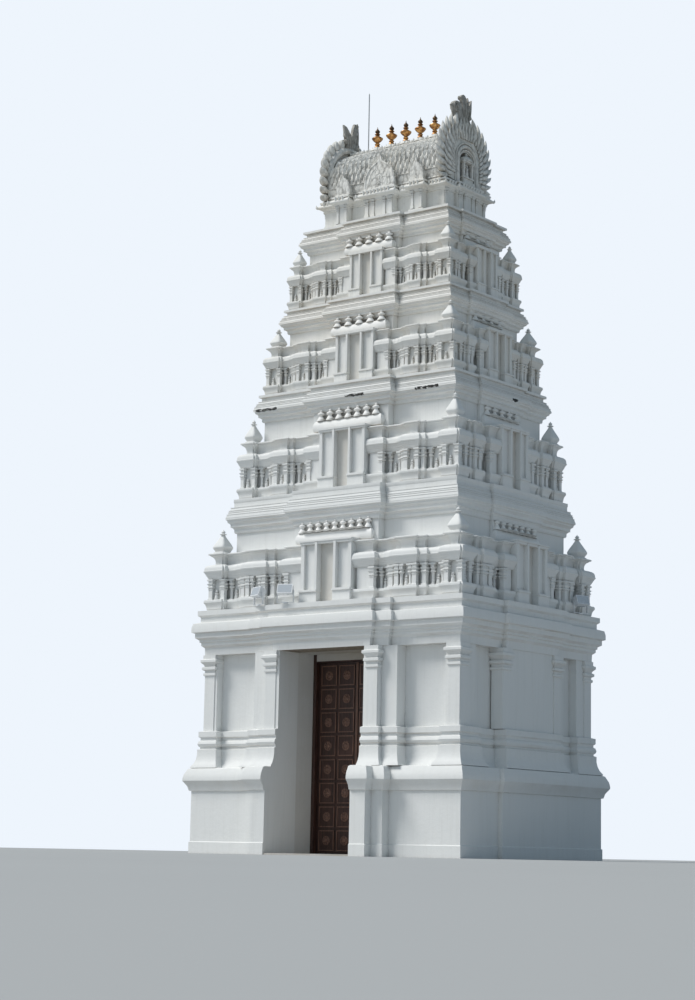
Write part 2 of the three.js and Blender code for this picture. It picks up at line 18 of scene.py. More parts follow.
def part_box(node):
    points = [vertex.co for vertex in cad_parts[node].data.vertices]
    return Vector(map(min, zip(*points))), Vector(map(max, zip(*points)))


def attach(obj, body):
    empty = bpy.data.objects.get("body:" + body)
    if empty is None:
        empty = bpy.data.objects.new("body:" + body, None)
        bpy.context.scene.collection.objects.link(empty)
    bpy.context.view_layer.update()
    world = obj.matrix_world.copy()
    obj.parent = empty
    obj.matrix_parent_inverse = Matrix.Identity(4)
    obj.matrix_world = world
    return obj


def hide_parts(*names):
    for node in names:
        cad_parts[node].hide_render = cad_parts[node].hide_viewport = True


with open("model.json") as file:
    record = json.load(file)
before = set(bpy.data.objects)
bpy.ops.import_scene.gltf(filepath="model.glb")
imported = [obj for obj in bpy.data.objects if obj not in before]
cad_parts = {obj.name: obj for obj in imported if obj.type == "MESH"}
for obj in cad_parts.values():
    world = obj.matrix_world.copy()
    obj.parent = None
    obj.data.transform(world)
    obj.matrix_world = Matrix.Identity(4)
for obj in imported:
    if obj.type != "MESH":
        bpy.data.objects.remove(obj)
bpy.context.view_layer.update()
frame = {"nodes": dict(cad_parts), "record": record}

# %% [markdown]
# The camera stands in front of the right-hand corner, almost at ground level, and looks up.
# A camera can be placed by eye, but a tower is all straight edges, and those give the view away: the lens,
# the place and the three angles here were worked out from how the corners of the real tower line up.
# The rotation is built from the three directions of the picture: right, up, and backwards to the viewer.

# %% Camera
FOCAL_PIXELS = 2148.93
PICTURE_HEIGHT = 1000
SENSOR = 36.0
CAMERA_PLACE = Vector((39.717, -53.932, 0.066))
YAW, PITCH, ROLL = (math.radians(angle) for angle in (-37.797, 9.350, 1.099))


def picture_axes(yaw, pitch, roll):
    """The directions of the picture's right, its top and the viewer, as unit vectors."""
    forward = Vector((math.sin(yaw) * math.cos(pitch), math.cos(yaw) * math.cos(pitch), math.sin(pitch)))
    level_right = Vector((math.cos(yaw), -math.sin(yaw), 0))
    level_up = level_right.cross(forward)
    right = math.cos(roll) * level_right + math.sin(roll) * level_up
    up = -math.sin(roll) * level_right + math.cos(roll) * level_up
    return right, up, -forward


lens = bpy.data.cameras.new("camera")
lens.sensor_width = SENSOR
lens.lens = SENSOR * FOCAL_PIXELS / PICTURE_HEIGHT
lens.clip_end = 2000
camera = bpy.data.objects.new("camera", lens)
turn = Matrix(picture_axes(YAW, PITCH, ROLL)).transposed().to_4x4()
camera.matrix_world = Matrix.Translation(CAMERA_PLACE) @ turn
bpy.context.scene.collection.objects.link(camera)
bpy.context.scene.camera = camera
print("camera: lens", round(lens.lens, 2), "mm")

# %% [markdown]
# Colours, light and soft edges all come from nodes, so the node helpers come first. A shader is a sum: so
# much white, so much cream, dirt where air cannot reach. Written as Python expressions such sums stay short.
# Wire wraps one socket of a node tree and gives it the operators + - * /, also with a number on the left,
# each of which adds a Math node. Any other node comes from new_node(), which takes the node's type, its
# settings, and the values or links of its sockets.

# %% Wires and nodes
class Wire:
    """One socket of a node tree, or the result of maths on such sockets."""

    def __init__(self, tree, socket):
        self.tree = tree
        self.socket = socket

    def maths(self, operation, first, second, clamp=False):
        settings = {"operation": operation, "use_clamp": clamp}
        return new_node(self.tree, "ShaderNodeMath", settings, {0: first, 1: second})["Value"]

    def __add__(self, other):
        return self.maths("ADD", self, other)

    def __sub__(self, other):
        return self.maths("SUBTRACT", self, other)

    def __mul__(self, other):
        return self.maths("MULTIPLY", self, other)

    def __truediv__(self, other):
        return self.maths("DIVIDE", self, other)

    def __radd__(self, other):
        return self.maths("ADD", other, self)

    def __rsub__(self, other):
        return self.maths("SUBTRACT", other, self)

    def __rmul__(self, other):
        return self.maths("MULTIPLY", other, self)

    def __rtruediv__(self, other):
        return self.maths("DIVIDE", other, self)

    def clamped(self):
        return self.maths("ADD", self, 0.0, clamp=True)

    def between(self, low, high):
        """0 below low, 1 above high, and a straight ramp from one to the other."""
        return ((self - low) / (high - low)).clamped()


def feed(tree, socket, value):
    """Links a wire to a socket, or gives the socket a plain value."""
    if isinstance(value, Wire):
        tree.links.new(value.socket, socket)
    else:
        socket.default_value = value


def new_node(tree, kind, settings=None, sockets=None):
    """Makes a node and returns its outputs as wires. A socket is named by its identifier, name or place."""
    made = tree.nodes.new(kind)
    for setting, value in (settings or {}).items():
        setattr(made, setting, value)
    known = {socket.identifier: socket for socket in made.inputs}
    for name, value in (sockets or {}).items():
        feed(tree, known[name] if name in known else made.inputs[name], value)
    return {output.identifier: Wire(tree, output) for output in made.outputs}


def opaque(colour):
    """A plain colour gets its fourth number. A wire stays as it is."""
    return (*colour, 1) if isinstance(colour, tuple) else colour


print("node helpers ready")

# %% [markdown]
# Light makes white plaster readable. A hazy sun stands high on the left, so rolls and ledges catch it on
# top, the walls are a little greyer, and the right-hand side of the tower is lit by the sky alone. Area
# lamps could do it, but sun lamps light a tall building evenly from foot to top. The first one's disc is
# very wide, for haze, so no shadow has a hard edge. A second, weak and much wider one stands for the bright
# haze low in front, which reaches in under the ledges. The sky is bluish and gives little light, so the
# shaded side stays clearly darker, while a second, nearly white background is what one sees behind the
# tower. A Light Path node tells the two apart. A plain pale floor, made last, sends some light up.

# %% Light
SUN_SIDE = math.radians(52)  # to the left of straight in front
SUN_HEIGHT = math.radians(52)
SUN_STRENGTH = 2.80
HAZE = math.radians(22)  # how wide the bright patch of sky round the sun is
SUN_COLOUR = (1.0, 0.975, 0.94)
GLOW_SIDE, GLOW_HEIGHT, GLOW_STRENGTH = math.radians(30), math.radians(14), 0.50
GLOW_WIDTH = math.radians(100)
GLOW_COLOUR = (1.0, 0.985, 0.96)
SKY_LIGHT = (0.60, 0.80, 1.0)
SKY_STRENGTH = 0.30
BACKDROP = (0.855, 0.913, 0.982)

bpy.context.scene.view_settings.view_transform = "Standard"


def lamp_in_sky(name, side, height, strength, colour, width):
    """A sun lamp that shines from the given side, to the left of straight in front, and height."""
    light = bpy.data.lights.new(name, "SUN")
    light.energy, light.color, light.angle = strength, colour, width
    holder = bpy.data.objects.new(name, light)
    level = math.cos(height)
    to_light = Vector((-math.sin(side) * level, -math.cos(side) * level, math.sin(height)))
    holder.rotation_euler = to_light.to_track_quat("Z", "Y").to_euler()
    bpy.context.scene.collection.objects.link(holder)


lamp_in_sky("sun", SUN_SIDE, SUN_HEIGHT, SUN_STRENGTH, SUN_COLOUR, HAZE)
lamp_in_sky("bright_horizon", GLOW_SIDE, GLOW_HEIGHT, GLOW_STRENGTH, GLOW_COLOUR, GLOW_WIDTH)

world = bpy.data.worlds.new("sky")
bpy.context.scene.world = world
world.use_nodes = True
sky_tree = world.node_tree
sky = sky_tree.nodes["Background"]
feed(sky_tree, sky.inputs["Color"], opaque(SKY_LIGHT))
feed(sky_tree, sky.inputs["Strength"], SKY_STRENGTH)
sky_glow = Wire(sky_tree, sky.outputs["Background"])
backdrop = new_node(sky_tree, "ShaderNodeBackground", sockets={"Color": opaque(BACKDROP)})["Background"]
seen_directly = new_node(sky_tree, "ShaderNodeLightPath")["Is Camera Ray"]
choice = new_node(sky_tree, "ShaderNodeMixShader", sockets={"Fac": seen_directly, 1: sky_glow, 2: backdrop})
feed(sky_tree, sky_tree.nodes["World Output"].inputs["Surface"], choice["Shader"])
print("light: two sun lamps, the sky and a backdrop")

# %% [markdown]
# Each finish is a recipe: a material whose nodes are put together in one place. Recipe keeps the material and
# its tree, and has short words for what a finish needs again and again: mix() blends two colours, stretched()
# draws a pattern out along one direction, noise() gives clouds or grain and bump() raises the surface.

# %% Recipes
class Recipe:
    """A material and the nodes that make it."""

    def __init__(self, name):
        self.material = bpy.data.materials.new(name)
        self.material.use_nodes = True
        self.tree = self.material.node_tree
        self.shader = self.tree.nodes["Principled BSDF"]

    def node(self, kind, settings=None, sockets=None):
        return new_node(self.tree, kind, settings, sockets)

    def mix(self, first, second, share):
        sockets = {"A_Color": opaque(first), "B_Color": opaque(second), "Factor_Float": share}
        return self.node("ShaderNodeMix", {"data_type": "RGBA"}, sockets)["Result_Color"]

    def place(self):
        """Where a point of the surface is, in metres."""
        return self.node("ShaderNodeTexCoord")["Object"]

    def split(self, vector):
        parts = self.node("ShaderNodeSeparateXYZ", sockets={"Vector": vector})
        return parts["X"], parts["Y"], parts["Z"]

    def stretched(self, vector, x, y, z):
        sockets = {0: vector, 1: (x, y, z)}
        return self.node("ShaderNodeVectorMath", {"operation": "MULTIPLY"}, sockets)["Vector"]

    def noise(self, vector, scale, detail=3.0, roughness=0.55):
        sockets = {"Vector": vector, "Scale": scale, "Detail": detail, "Roughness": roughness}
        return self.node("ShaderNodeTexNoise", sockets=sockets)["Fac"]

    def shut_in(self, distance, samples=8):
        """How much of the air within a distance is taken up by solid: 0 in the open, 1 deep in a hollow."""
        open_air = self.node("ShaderNodeAmbientOcclusion", {"samples": samples}, {"Distance": distance})["AO"]
        return 1 - open_air

    def bump(self, height, strength, distance):
        sockets = {"Height": height, "Strength": strength, "Distance": distance}
        return self.node("ShaderNodeBump", sockets=sockets)["Normal"]

    def finish(self, **sockets):
        for name, value in sockets.items():
            feed(self.tree, self.shader.inputs[name.replace("_", " ")], opaque(value))
        return self.material


print("recipes ready")

# %% [markdown]
# Painted plaster is never one white. Low down it is fresh, and higher up it turns creamy, where painters
# seldom climb. Rain draws thin grey-green streaks down the walls below the ledges. Every hollow and crease,
# which an Ambient Occlusion node finds, is darker: partly dust and algae, partly painted shade. Undersides
# turn brown where water hangs before it drops. The bump is the wave of a hand-floated coat, with a fine
# sandy grain on top.

# %% Plaster
FRESH_WHITE = (0.80, 0.81, 0.80)
BRIGHTENED_COAT = (0.90, 0.90, 0.885)
BRIGHTENED_UPPER_COAT = (0.89, 0.88, 0.85)
OLD_CREAM = (0.83, 0.80, 0.73)
GRIME_AND_SHADE = (0.135, 0.125, 0.105)
CREVICE_DIRT_AND_SHADE = (0.34, 0.28, 0.20)
ALGAE = (0.36, 0.36, 0.30)
RUST_BROWN = (0.34, 0.235, 0.14)
DAMP_BROWN = (0.44, 0.37, 0.27)
SOOT_AND_SHADE_BLACK = (0.085, 0.078, 0.068)
BARE_RENDER, DARK_RENDER = (0.30, 0.25, 0.19), (0.17, 0.14, 0.11)
BROKEN_GAP_SHADE = (0.018, 0.017, 0.016)
WEATHER_FROM, WEATHER_TO = 11.0, 24.0  # heights between which the paint grows older
BROKEN_FRONT = [(-3.90, -2.90), (-0.12, 0.76), (2.35, 3.36)]  # where the drip is chipped, along x
BROKEN_SIDE = (0.18, 0.62)  # and on the right side, along y
CHIP_REACH = 0.09  # how far above and below the edge it is chipped
WINDOW_EDGE = 0.08


def window(value, low, high):
    """1 between low and high, and 0 outside."""
    return value.between(low, low + WINDOW_EDGE) * (1 - value.between(high - WINDOW_EDGE, high))


def plaster(name, coat=FRESH_WHITE, age=0.0, weather=1.0, stain=0.0, soot_and_shade=0.0, relief=0.0,
            chips_at=None, soffit=None):
    """White paint on plaster.

    age makes it creamier and weather dirtier, stain browns it, and soot blackens it, partly as dirt
    and partly as painted shade in doorways, gable holes and behind the pots. relief adds small carving
    whose crevices are darker, dirt and painted shade. chips_at is the height of an edge that has broken
    off here and there; the breaks are painted near-black, painted shade of the gaps. Below the height
    soffit, what faces down is bare, brown render.
    """
    r = Recipe(name)
    place = r.place()
    x, y, z = r.split(place)
    facing = r.split(r.node("ShaderNodeNewGeometry")["Normal"])[2]
    upward = facing.clamped()
    downward = (0 - facing).clamped()
    upright = 1 - upward - downward
    hollow = r.shut_in(0.22).between(0.25, 0.85)
    crease = r.shut_in(0.05, samples=6).between(0.35, 0.85)
    older = (z.between(WEATHER_FROM, WEATHER_TO) + age).clamped()

    clouds = r.noise(place, 0.55, 4.0)
    mottle = r.noise(place, 3.4, 6.0, 0.62)
    flecks = r.noise(place, 13.0, 4.0, 0.66)
    streaks = r.noise(r.stretched(place, 5.5, 5.5, 0.42), 1.0, 5.0, 0.6).between(0.50, 0.80)
    runs = r.noise(r.stretched(place, 17.0, 17.0, 0.7), 1.0, 3.0, 0.5).between(0.56, 0.76)

    colour = r.mix(coat, OLD_CREAM, older * (0.20 + 0.60 * clouds.between(0.35, 0.68)))
    colour = r.mix(colour, OLD_CREAM, mottle.between(0.52, 0.80) * (0.15 + 0.25 * older))
    colour = r.mix(colour, ALGAE, streaks * upright * (0.10 + 0.20 * older) * weather)
    colour = r.mix(colour, GRIME_AND_SHADE, runs * upright * (0.04 + 0.12 * older) * weather)
    colour = r.mix(colour, ALGAE, upward * mottle.between(0.42, 0.70) * (0.03 + 0.30 * older) * weather)
    colour = r.mix(colour, GRIME_AND_SHADE, flecks.between(0.62, 0.76) * (0.04 + 0.28 * older) * weather)
    colour = r.mix(colour, RUST_BROWN, downward * clouds.between(0.40, 0.75) * 0.45)
    # hollows and creases are darkened here: partly dust and algae, partly painted shade
    hollow_dirt_and_shade = hollow * (0.18 + 0.34 * mottle.between(0.35, 0.70)) * (0.65 + 0.65 * older)
    colour = r.mix(colour, CREVICE_DIRT_AND_SHADE, hollow_dirt_and_shade)
    crease_dirt_and_shade = crease * (0.30 + 0.60 * flecks.between(0.38, 0.62)) * (0.50 + 0.50 * older)
    colour = r.mix(colour, GRIME_AND_SHADE, crease_dirt_and_shade)
    carving = 0
    if relief:
        drawn_out = r.stretched(place, 1.0, 1.0, 0.6)
        cells = r.node("ShaderNodeTexVoronoi", {"feature": "F1"},
                       {"Vector": drawn_out, "Scale": 9.0, "Randomness": 0.85})["Distance"]
        carving = 2.0 * relief * (1 - cells)
        # the edges of the carved cells are darkened: dirt and painted shade in the crevices
        colour = r.mix(colour, GRIME_AND_SHADE, cells.between(0.45, 0.72) * 0.75 * relief)
    if soffit is not None:
        bare = (3 * downward).clamped() * (1 - z.between(soffit, soffit + 0.05))
        render = r.mix(BARE_RENDER, DARK_RENDER, flecks.between(0.35, 0.65))
        colour = r.mix(colour, render, bare)
    if stain:
        colour = r.mix(colour, DAMP_BROWN, stain * (0.3 + 0.7 * clouds.between(0.3, 0.7)))
    # blackening: dirt on the crests, painted shade in the doorway, the gable holes and behind the pots
    if soot_and_shade:
        colour = r.mix(colour, SOOT_AND_SHADE_BLACK, soot_and_shade * (0.6 + 0.4 * mottle))
    if chips_at is not None:
        ragged = r.noise(r.stretched(place, 1.0, 1.0, 1.6), 9.0, 5.0, 0.7)
        on_front = sum((window(x, low, high) for low, high in BROKEN_FRONT), start=0)
        on_side = window(y, *BROKEN_SIDE) * x.between(3.5, 3.6)
        patch = (on_front * (0 - y).between(2.3, 2.4) + on_side).clamped()
        near_edge = 1 - ((z - chips_at) * (z - chips_at) / (CHIP_REACH * CHIP_REACH)).clamped()
        chips = (near_edge * patch * ragged).between(0.40, 0.45)
        # the breaks are real; their near-black colour is painted shade of the gaps
        colour = r.mix(colour, BROKEN_GAP_SHADE, chips)

    wave = r.noise(place, 7.0, 5.0, 0.6)
    grain = r.noise(place, 75.0, 2.0)
    return r.finish(
        Base_Color=colour,
        Roughness=0.62 + 0.25 * mottle,
        Normal=r.bump(wave + 0.25 * grain + 0.35 * flecks + carving, 0.5, 0.014 + 0.03 * relief),
    )


print("plaster: the paint grows older from", WEATHER_FROM, "to", WEATHER_TO, "m")

# %% [markdown]
# One recipe makes all the whites of the tower. The walls low down are fresh. The canopies and the
# upper tiers are painted whiter, which is painted light. The roof is the oldest, and its carved places
# are darkest, with dirt and painted shade. Behind the pots and in the holes of the gables it is nearly
# black, which is painted shade. The doorway is stained and darkened further with painted shade, and the
# underside of its lintel has lost its paint. On the second tier the edge of the cornice is broken in
# places, and the breaks are painted near-black, painted shade of the gaps.

# %% Kinds of white
DOOR_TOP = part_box("front_lintel")[0].z
SOFFIT_BAND = 0.10  # what faces down less than this far above the doorway is bare
DRIP_BELOW_DECK = 0.515  # how far the chipped edge lies below the top of the second deck

white_plaster = plaster("white_plaster")
old_plaster = plaster("old_plaster", age=0.25)
# a whiter coat on the canopies and mounds is painted light, for the sun on their tops
brightened_plaster = plaster("brightened_plaster", BRIGHTENED_COAT, weather=0.4)
# a whiter coat on the upper tiers is painted light, making up for light they get less of
brightened_upper_plaster = plaster("brightened_upper_plaster", BRIGHTENED_UPPER_COAT, age=0.10, weather=0.9)
carved_plaster = plaster("carved_plaster", age=0.35, weather=1.3, relief=0.6)
gable_plaster = plaster("gable_plaster", age=0.40, weather=1.6, relief=0.35)
crest_plaster = plaster("crest_plaster", age=0.45, weather=2.4, stain=0.25, soot_and_shade=0.50, relief=0.6)
niche_plaster = plaster("niche_plaster", stain=0.45)
# nearly black: painted shade, on the backs of the pots and of the gable holes
painted_shade_plaster = plaster("painted_shade_plaster", soot_and_shade=0.72)
# the passage and the doorway are stained brown and darkened further, which is painted shade
passage_plaster = plaster("passage_plaster", stain=0.25, soot_and_shade=0.12)
doorway_plaster = plaster("doorway_plaster", stain=0.75, soot_and_shade=0.30)
lintel_plaster = plaster("lintel_plaster", soffit=DOOR_TOP + SOFFIT_BAND)
chipped_plaster = plaster("chipped_plaster", chips_at=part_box("tier_2_deck")[1].z - DRIP_BELOW_DECK)


def tier_paint(tier):
    return white_plaster if tier["number"] < 3 else old_plaster


print("plaster: thirteen kinds of white")

# %% [markdown]
# The other finishes are small in area but strong in colour. The finials are copper with worn gilding: bright
# where the wind polishes it, brown in the necks, and nearly black at the tips. The doors are old varnished
# hardwood with a grain that runs upwards, darker in the corners with dirt and painted shade. The lamps
# and the rod are painted or galvanised metal.

# %% Gilding, wood and metal
FINIAL_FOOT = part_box("kalasam_1")[0].z
DARK_TIP = FINIAL_FOOT + 0.53  # the cone above this height has lost its gold
POLISHED_GOLD = (0.78, 0.44, 0.16)
WORN_COPPER = (0.30, 0.13, 0.05)
NECK_BROWN = (0.10, 0.045, 0.02)
TIP_BLACK = (0.045, 0.04, 0.035)
CORNER_DIRT_AND_SHADE = (0.012, 0.008, 0.007)
DUST = (0.32, 0.29, 0.25)


def gilding():
    r = Recipe("worn_gilding")
    place = r.place()
    height = r.split(place)[2]
    worn = r.noise(place, 11.0, 4.0, 0.65)
    colour = r.mix(POLISHED_GOLD, WORN_COPPER, worn.between(0.40, 0.60))
    colour = r.mix(colour, NECK_BROWN, r.shut_in(0.12).between(0.10, 0.70))
    colour = r.mix(colour, TIP_BLACK, height.between(DARK_TIP - 0.03, DARK_TIP + 0.05) * 0.85)
    return r.finish(
        Base_Color=colour,
        Metallic=0.85,
        Roughness=0.30 + 0.30 * worn,
        Normal=r.bump(r.noise(place, 40.0), 0.3, 0.004),
    )


def varnished_wood(name, light, dark):
    r = Recipe(name)
    place = r.place()
    grain = r.noise(r.stretched(place, 26.0, 26.0, 1.6), 1.0, 5.0, 0.6)
    patches = r.noise(place, 1.3, 3.0)
    colour = r.mix(light, dark, grain.between(0.35, 0.68))
    colour = r.mix(colour, tuple(1.4 * part for part in light), patches.between(0.55, 0.75) * 0.5)
    # corners are darkened nearly black: dirt and painted shade
    colour = r.mix(colour, CORNER_DIRT_AND_SHADE, r.shut_in(0.08).between(0.15, 0.80) * 0.8)
    return r.finish(
        Base_Color=colour,
        Roughness=0.34 + 0.25 * patches,
        Normal=r.bump(grain, 0.4, 0.004),
    )


def painted_metal(name, colour, roughness):
    r = Recipe(name)
    place = r.place()
    scuffs = r.noise(place, 18.0, 5.0, 0.7)
    dusty = r.mix(colour, DUST, scuffs.between(0.52, 0.78) * 0.55)
    return r.finish(
        Base_Color=dusty,
        Metallic=0.3,
        Roughness=roughness + 0.25 * scuffs,
        Normal=r.bump(scuffs, 0.2, 0.002),
    )


gold = gilding()
wood = varnished_wood("varnished_wood", light=(0.075, 0.033, 0.024), dark=(0.032, 0.016, 0.012))
worn_wood = varnished_wood("worn_wood", light=(0.23, 0.125, 0.085), dark=(0.10, 0.050, 0.036))
lamp_paint = painted_metal("lamp_paint", colour=(0.80, 0.82, 0.84), roughness=0.35)
zinc = painted_metal("zinc", colour=(0.42, 0.44, 0.46), roughness=0.4)
lamp_glass = painted_metal("lamp_glass", colour=(0.62, 0.66, 0.70), roughness=0.08)
print("finishes: gilding, wood, lamp paint, lamp glass, zinc")

# %% [markdown]
# The solids of the frame keep their shape and get these finishes. Their curved mouldings are made of flat
# strips, so a small Geometry Nodes group welds the strips together and shades them as one smooth surface,
# except across edges that are truly sharp. It changes how light falls and leaves every point in its place.

# %% Finishes on the frame's solids
SHARP_EDGE = math.radians(33)
WELD_DISTANCE = 0.0005


def smooth_by_angle():
    group = bpy.data.node_groups.new("smooth_by_angle", "GeometryNodeTree")
    group.interface.new_socket("Geometry", in_out="INPUT", socket_type="NodeSocketGeometry")
    group.interface.new_socket("Geometry", in_out="OUTPUT", socket_type="NodeSocketGeometry")
    solid = next(iter(new_node(group, "NodeGroupInput").values()))
    weld = {"Geometry": solid, "Distance": WELD_DISTANCE}
    welded = new_node(group, "GeometryNodeMergeByDistance", sockets=weld)["Geometry"]
    smooth = new_node(group, "GeometryNodeSetShadeSmooth", sockets={"Geometry": welded})["Geometry"]
    bend = new_node(group, "GeometryNodeInputMeshEdgeAngle")["Unsigned Angle"]
    is_sharp = new_node(group, "FunctionNodeCompare", sockets={"A": bend, "B": SHARP_EDGE})["Result"]
    sharpen = {"Geometry": smooth, "Selection": is_sharp, "Shade Smooth": False}
    shaded = new_node(group, "GeometryNodeSetShadeSmooth", {"domain": "EDGE"}, sharpen)["Geometry"]
    new_node(group, "NodeGroupOutput", sockets={0: shaded})
    return group


def cover(node, finish):
    """Puts one finish into every material slot of a solid."""
    solid = frame["nodes"][node]
    if not solid.material_slots:
        solid.data.materials.append(finish)
    for place in solid.material_slots:
        place.material = finish
    modifier = solid.modifiers.new("smooth by angle", "NODES")
    modifier.node_group = smoothing


smoothing = smooth_by_angle()
slots = {row["node"]: row["material_slot"] for row in frame["record"]["subparts"]}
finish_of_slot = {
    "painted_masonry": white_plaster,
    "carved_wood": wood,
    "gilt_copper": gold,
    "grey_metal": zinc,
}
special = {
    "passage_ceiling": doorway_plaster, "passage_floor": doorway_plaster,
    "left_passage_wall": passage_plaster, "right_passage_wall": passage_plaster,
    "front_lintel": lintel_plaster, "back_lintel": lintel_plaster,
    "tier_2_walls": chipped_plaster, "tier_3_walls": brightened_upper_plaster, "tier_4_walls": brightened_upper_plaster,
    "roof_neck": old_plaster, "roof_eave": old_plaster, "ridge": old_plaster, "vault": carved_plaster,
}
for node in frame["nodes"]:
    cover(node, special.get(node, finish_of_slot[slots[node]]))
print("finished:", len(frame["nodes"]), "solids")

# %% [markdown]
# Everything that is added is clay first: points and faces in plain arrays, which are cheap to copy, move
# and press together by the hundred. Form holds such clay. Three ways of making it cover most of a temple:
# lathe() turns a profile round an axis, as for columns and pots; sweep() drags a profile round the stepped
# plan of a wall and mitres the corners, as a plasterer runs a mould; loft() skins a stack of rings.

# %% Clay
class Form:
    """Points and faces that can be moved, turned, sized and pressed together with others."""

    def __init__(self, points, faces):
        self.points = np.asarray(points, float).reshape(-1, 3)
        self.faces = faces

    def moved(self, x=0.0, y=0.0, z=0.0):
        return Form(self.points + (x, y, z), self.faces)

    def sized(self, x, y, z):
        faces = self.faces if x * y * z > 0 else [face[::-1] for face in self.faces]
        return Form(self.points * (x, y, z), faces)

    def turned(self, angle, axis="Z"):
        return self.through(Matrix.Rotation(angle, 3, axis))

    def through(self, matrix):
        """The form seen through a 3 by 3 matrix."""
        return Form(self.points @ np.array(matrix).T, self.faces)


def together(forms):
    points, faces, count = [], [], 0
    for form in forms:
        points.append(form.points)
        faces.extend(tuple(i + count for i in face) for face in form.faces)
        count += len(form.points)
    return Form(np.concatenate(points), faces)


def loft(rings):
    """Skins rings that all have the same number of points, and closes both ends."""
    size = len(rings[0])
    faces = []
    for row in range(len(rings) - 1):
        a, b = row * size, (row + 1) * size
        for i in range(size):
            j = (i + 1) % size
            faces.append((a + i, a + j, b + j, b + i))
    last = (len(rings) - 1) * size
    faces.append(tuple(reversed(range(size))))
    faces.append(tuple(range(last, last + size)))
    return Form(np.concatenate(rings), faces)


def lathe(profile, sides=16):
    """Turns a profile of (radius, height) points round the upright axis."""
    angles = np.arange(sides) * (2 * math.pi / sides)
    across = np.stack([np.cos(angles), np.sin(angles)], 1)
    tiny = 0.0008  # a point on the axis becomes a ring too small to see
    rings = [np.column_stack([across * max(r, tiny), np.full(sides, z)]) for r, z in profile]
    return loft(rings)


def slab(x0, x1, y0, y1, z0, z1):
    """A squared block between two corners."""
    ring = np.array([(x0, y0), (x1, y0), (x1, y1), (x0, y1)], float)
    return loft([np.column_stack([ring, np.full(4, z)]) for z in (z0, z1)])


def mirrored(form):
    """The form and its mirror image across the middle plane of the tower."""
    return together([form, form.sized(-1, 1, 1)])


def piece(name, form, finish, body="tower", replaces=()):
    """Fires the clay: makes it a Blender object that rides on a body of the frame."""
    mesh = bpy.data.meshes.new(name)
    mesh.from_pydata(form.points.tolist(), [], form.faces)
    shell = bmesh.new()
    shell.from_mesh(mesh)
    bmesh.ops.recalc_face_normals(shell, faces=shell.faces)
    shell.to_mesh(mesh)
    shell.free()
    mesh.polygons.foreach_set("use_smooth", [True] * len(mesh.polygons))
    mesh.set_sharp_from_angle(angle=SHARP_EDGE)
    mesh.materials.append(finish)
    made = bpy.data.objects.new(name, mesh)
    bpy.context.scene.collection.objects.link(made)
    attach(made, body)
    if replaces:
        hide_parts(*replaces)
    print(f"{name}: {sum(len(f) - 2 for f in form.faces)} triangles")
    return made


print("clay helpers ready")

# %% [markdown]
# A stepped plan is the union of rectangles: the wall, the bays that stand out from it, the corner blocks.
# outline() finds the edge of that union by laying all rectangle sides over each other as a grid, marking
# the cells that are covered, and walking round them with the wall always on the left. sweep() then places
# the profile at each corner. A step of offset moves a corner along both walls that meet there, which is
# just what a mitre does.

# %% Plans and running mouldings
def rectangle(half_x, half_y, cx=0.0, cy=0.0):
    return (cx - half_x, cy - half_y, cx + half_x, cy + half_y)


def outline(rectangles):
    """The corners of the union of rectangles (x0, y0, x1, y1), anticlockwise, without straight-on points."""
    rounded = [[round(value, 4) for value in r] for r in rectangles]
    xs = sorted({r[0] for r in rounded} | {r[2] for r in rounded})
    ys = sorted({r[1] for r in rounded} | {r[3] for r in rounded})
    covered = set()
    for r in rounded:
        for i in range(xs.index(r[0]), xs.index(r[2])):
            for j in range(ys.index(r[1]), ys.index(r[3])):
                covered.add((i, j))
    onward = {}
    for i, j in covered:
        if (i, j - 1) not in covered:
            onward[i, j] = (i + 1, j)
        if (i + 1, j) not in covered:
            onward[i + 1, j] = (i + 1, j + 1)
        if (i, j + 1) not in covered:
            onward[i + 1, j + 1] = (i, j + 1)
        if (i - 1, j) not in covered:
            onward[i, j + 1] = (i, j)
    start = min(onward)
    walk = [start]
    while onward[walk[-1]] != start:
        walk.append(onward[walk[-1]])
    points = [Vector((xs[i], ys[j])) for i, j in walk]
    count = len(points)
    corners = []
    for k in range(count):
        before = points[k] - points[k - 1]
        after = points[(k + 1) % count] - points[k]
        if abs(before.cross(after)) > 1e-9:
            corners.append(points[k])
    return corners


def walls_of(corners):
    """For each corner, the unit direction of the wall that leaves it and that wall's outward normal."""
    count = len(corners)
    along = [(corners[(k + 1) % count] - corners[k]).normalized() for k in range(count)]
    outward = [Vector((d.y, -d.x)) for d in along]
    return along, outward


def sweep(profile, corners):
    """Runs a profile of (offset, height) points round a plan."""
    outward = walls_of(corners)[1]
    mitres = [outward[k - 1] + outward[k] for k in range(len(corners))]
    rings = [
        np.array([(*(corner + mitre * offset), height) for corner, mitre in zip(corners, mitres)])
        for offset, height in profile
    ]
    return loft(rings)


print("a square plan has", len(outline([rectangle(1, 1)])), "corners")

# %% [markdown]
# Each tier stands behind a parapet of miniature buildings: a square pavilion at each corner, two more on
# every side, and in the middle a bay with a niche. The tiers repeat one another at a smaller size, so one
# set of functions makes all four from the driving sizes below, in metres. spread scales what runs along
# the wall and rise what runs up it. Pairs are (front, side). The plan is cut open at the niches.

# %% Sizes of the tiers
def tier_sizes(number, spread, rise, **sizes):
    sizes.update(number=number, spread=spread, rise=rise, floor=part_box(f"tier_{number}_walls")[0].z)
    x, y = sizes["corner"]
    sizes["face"] = (y + sizes["half"], x + sizes["half"])
    return sizes


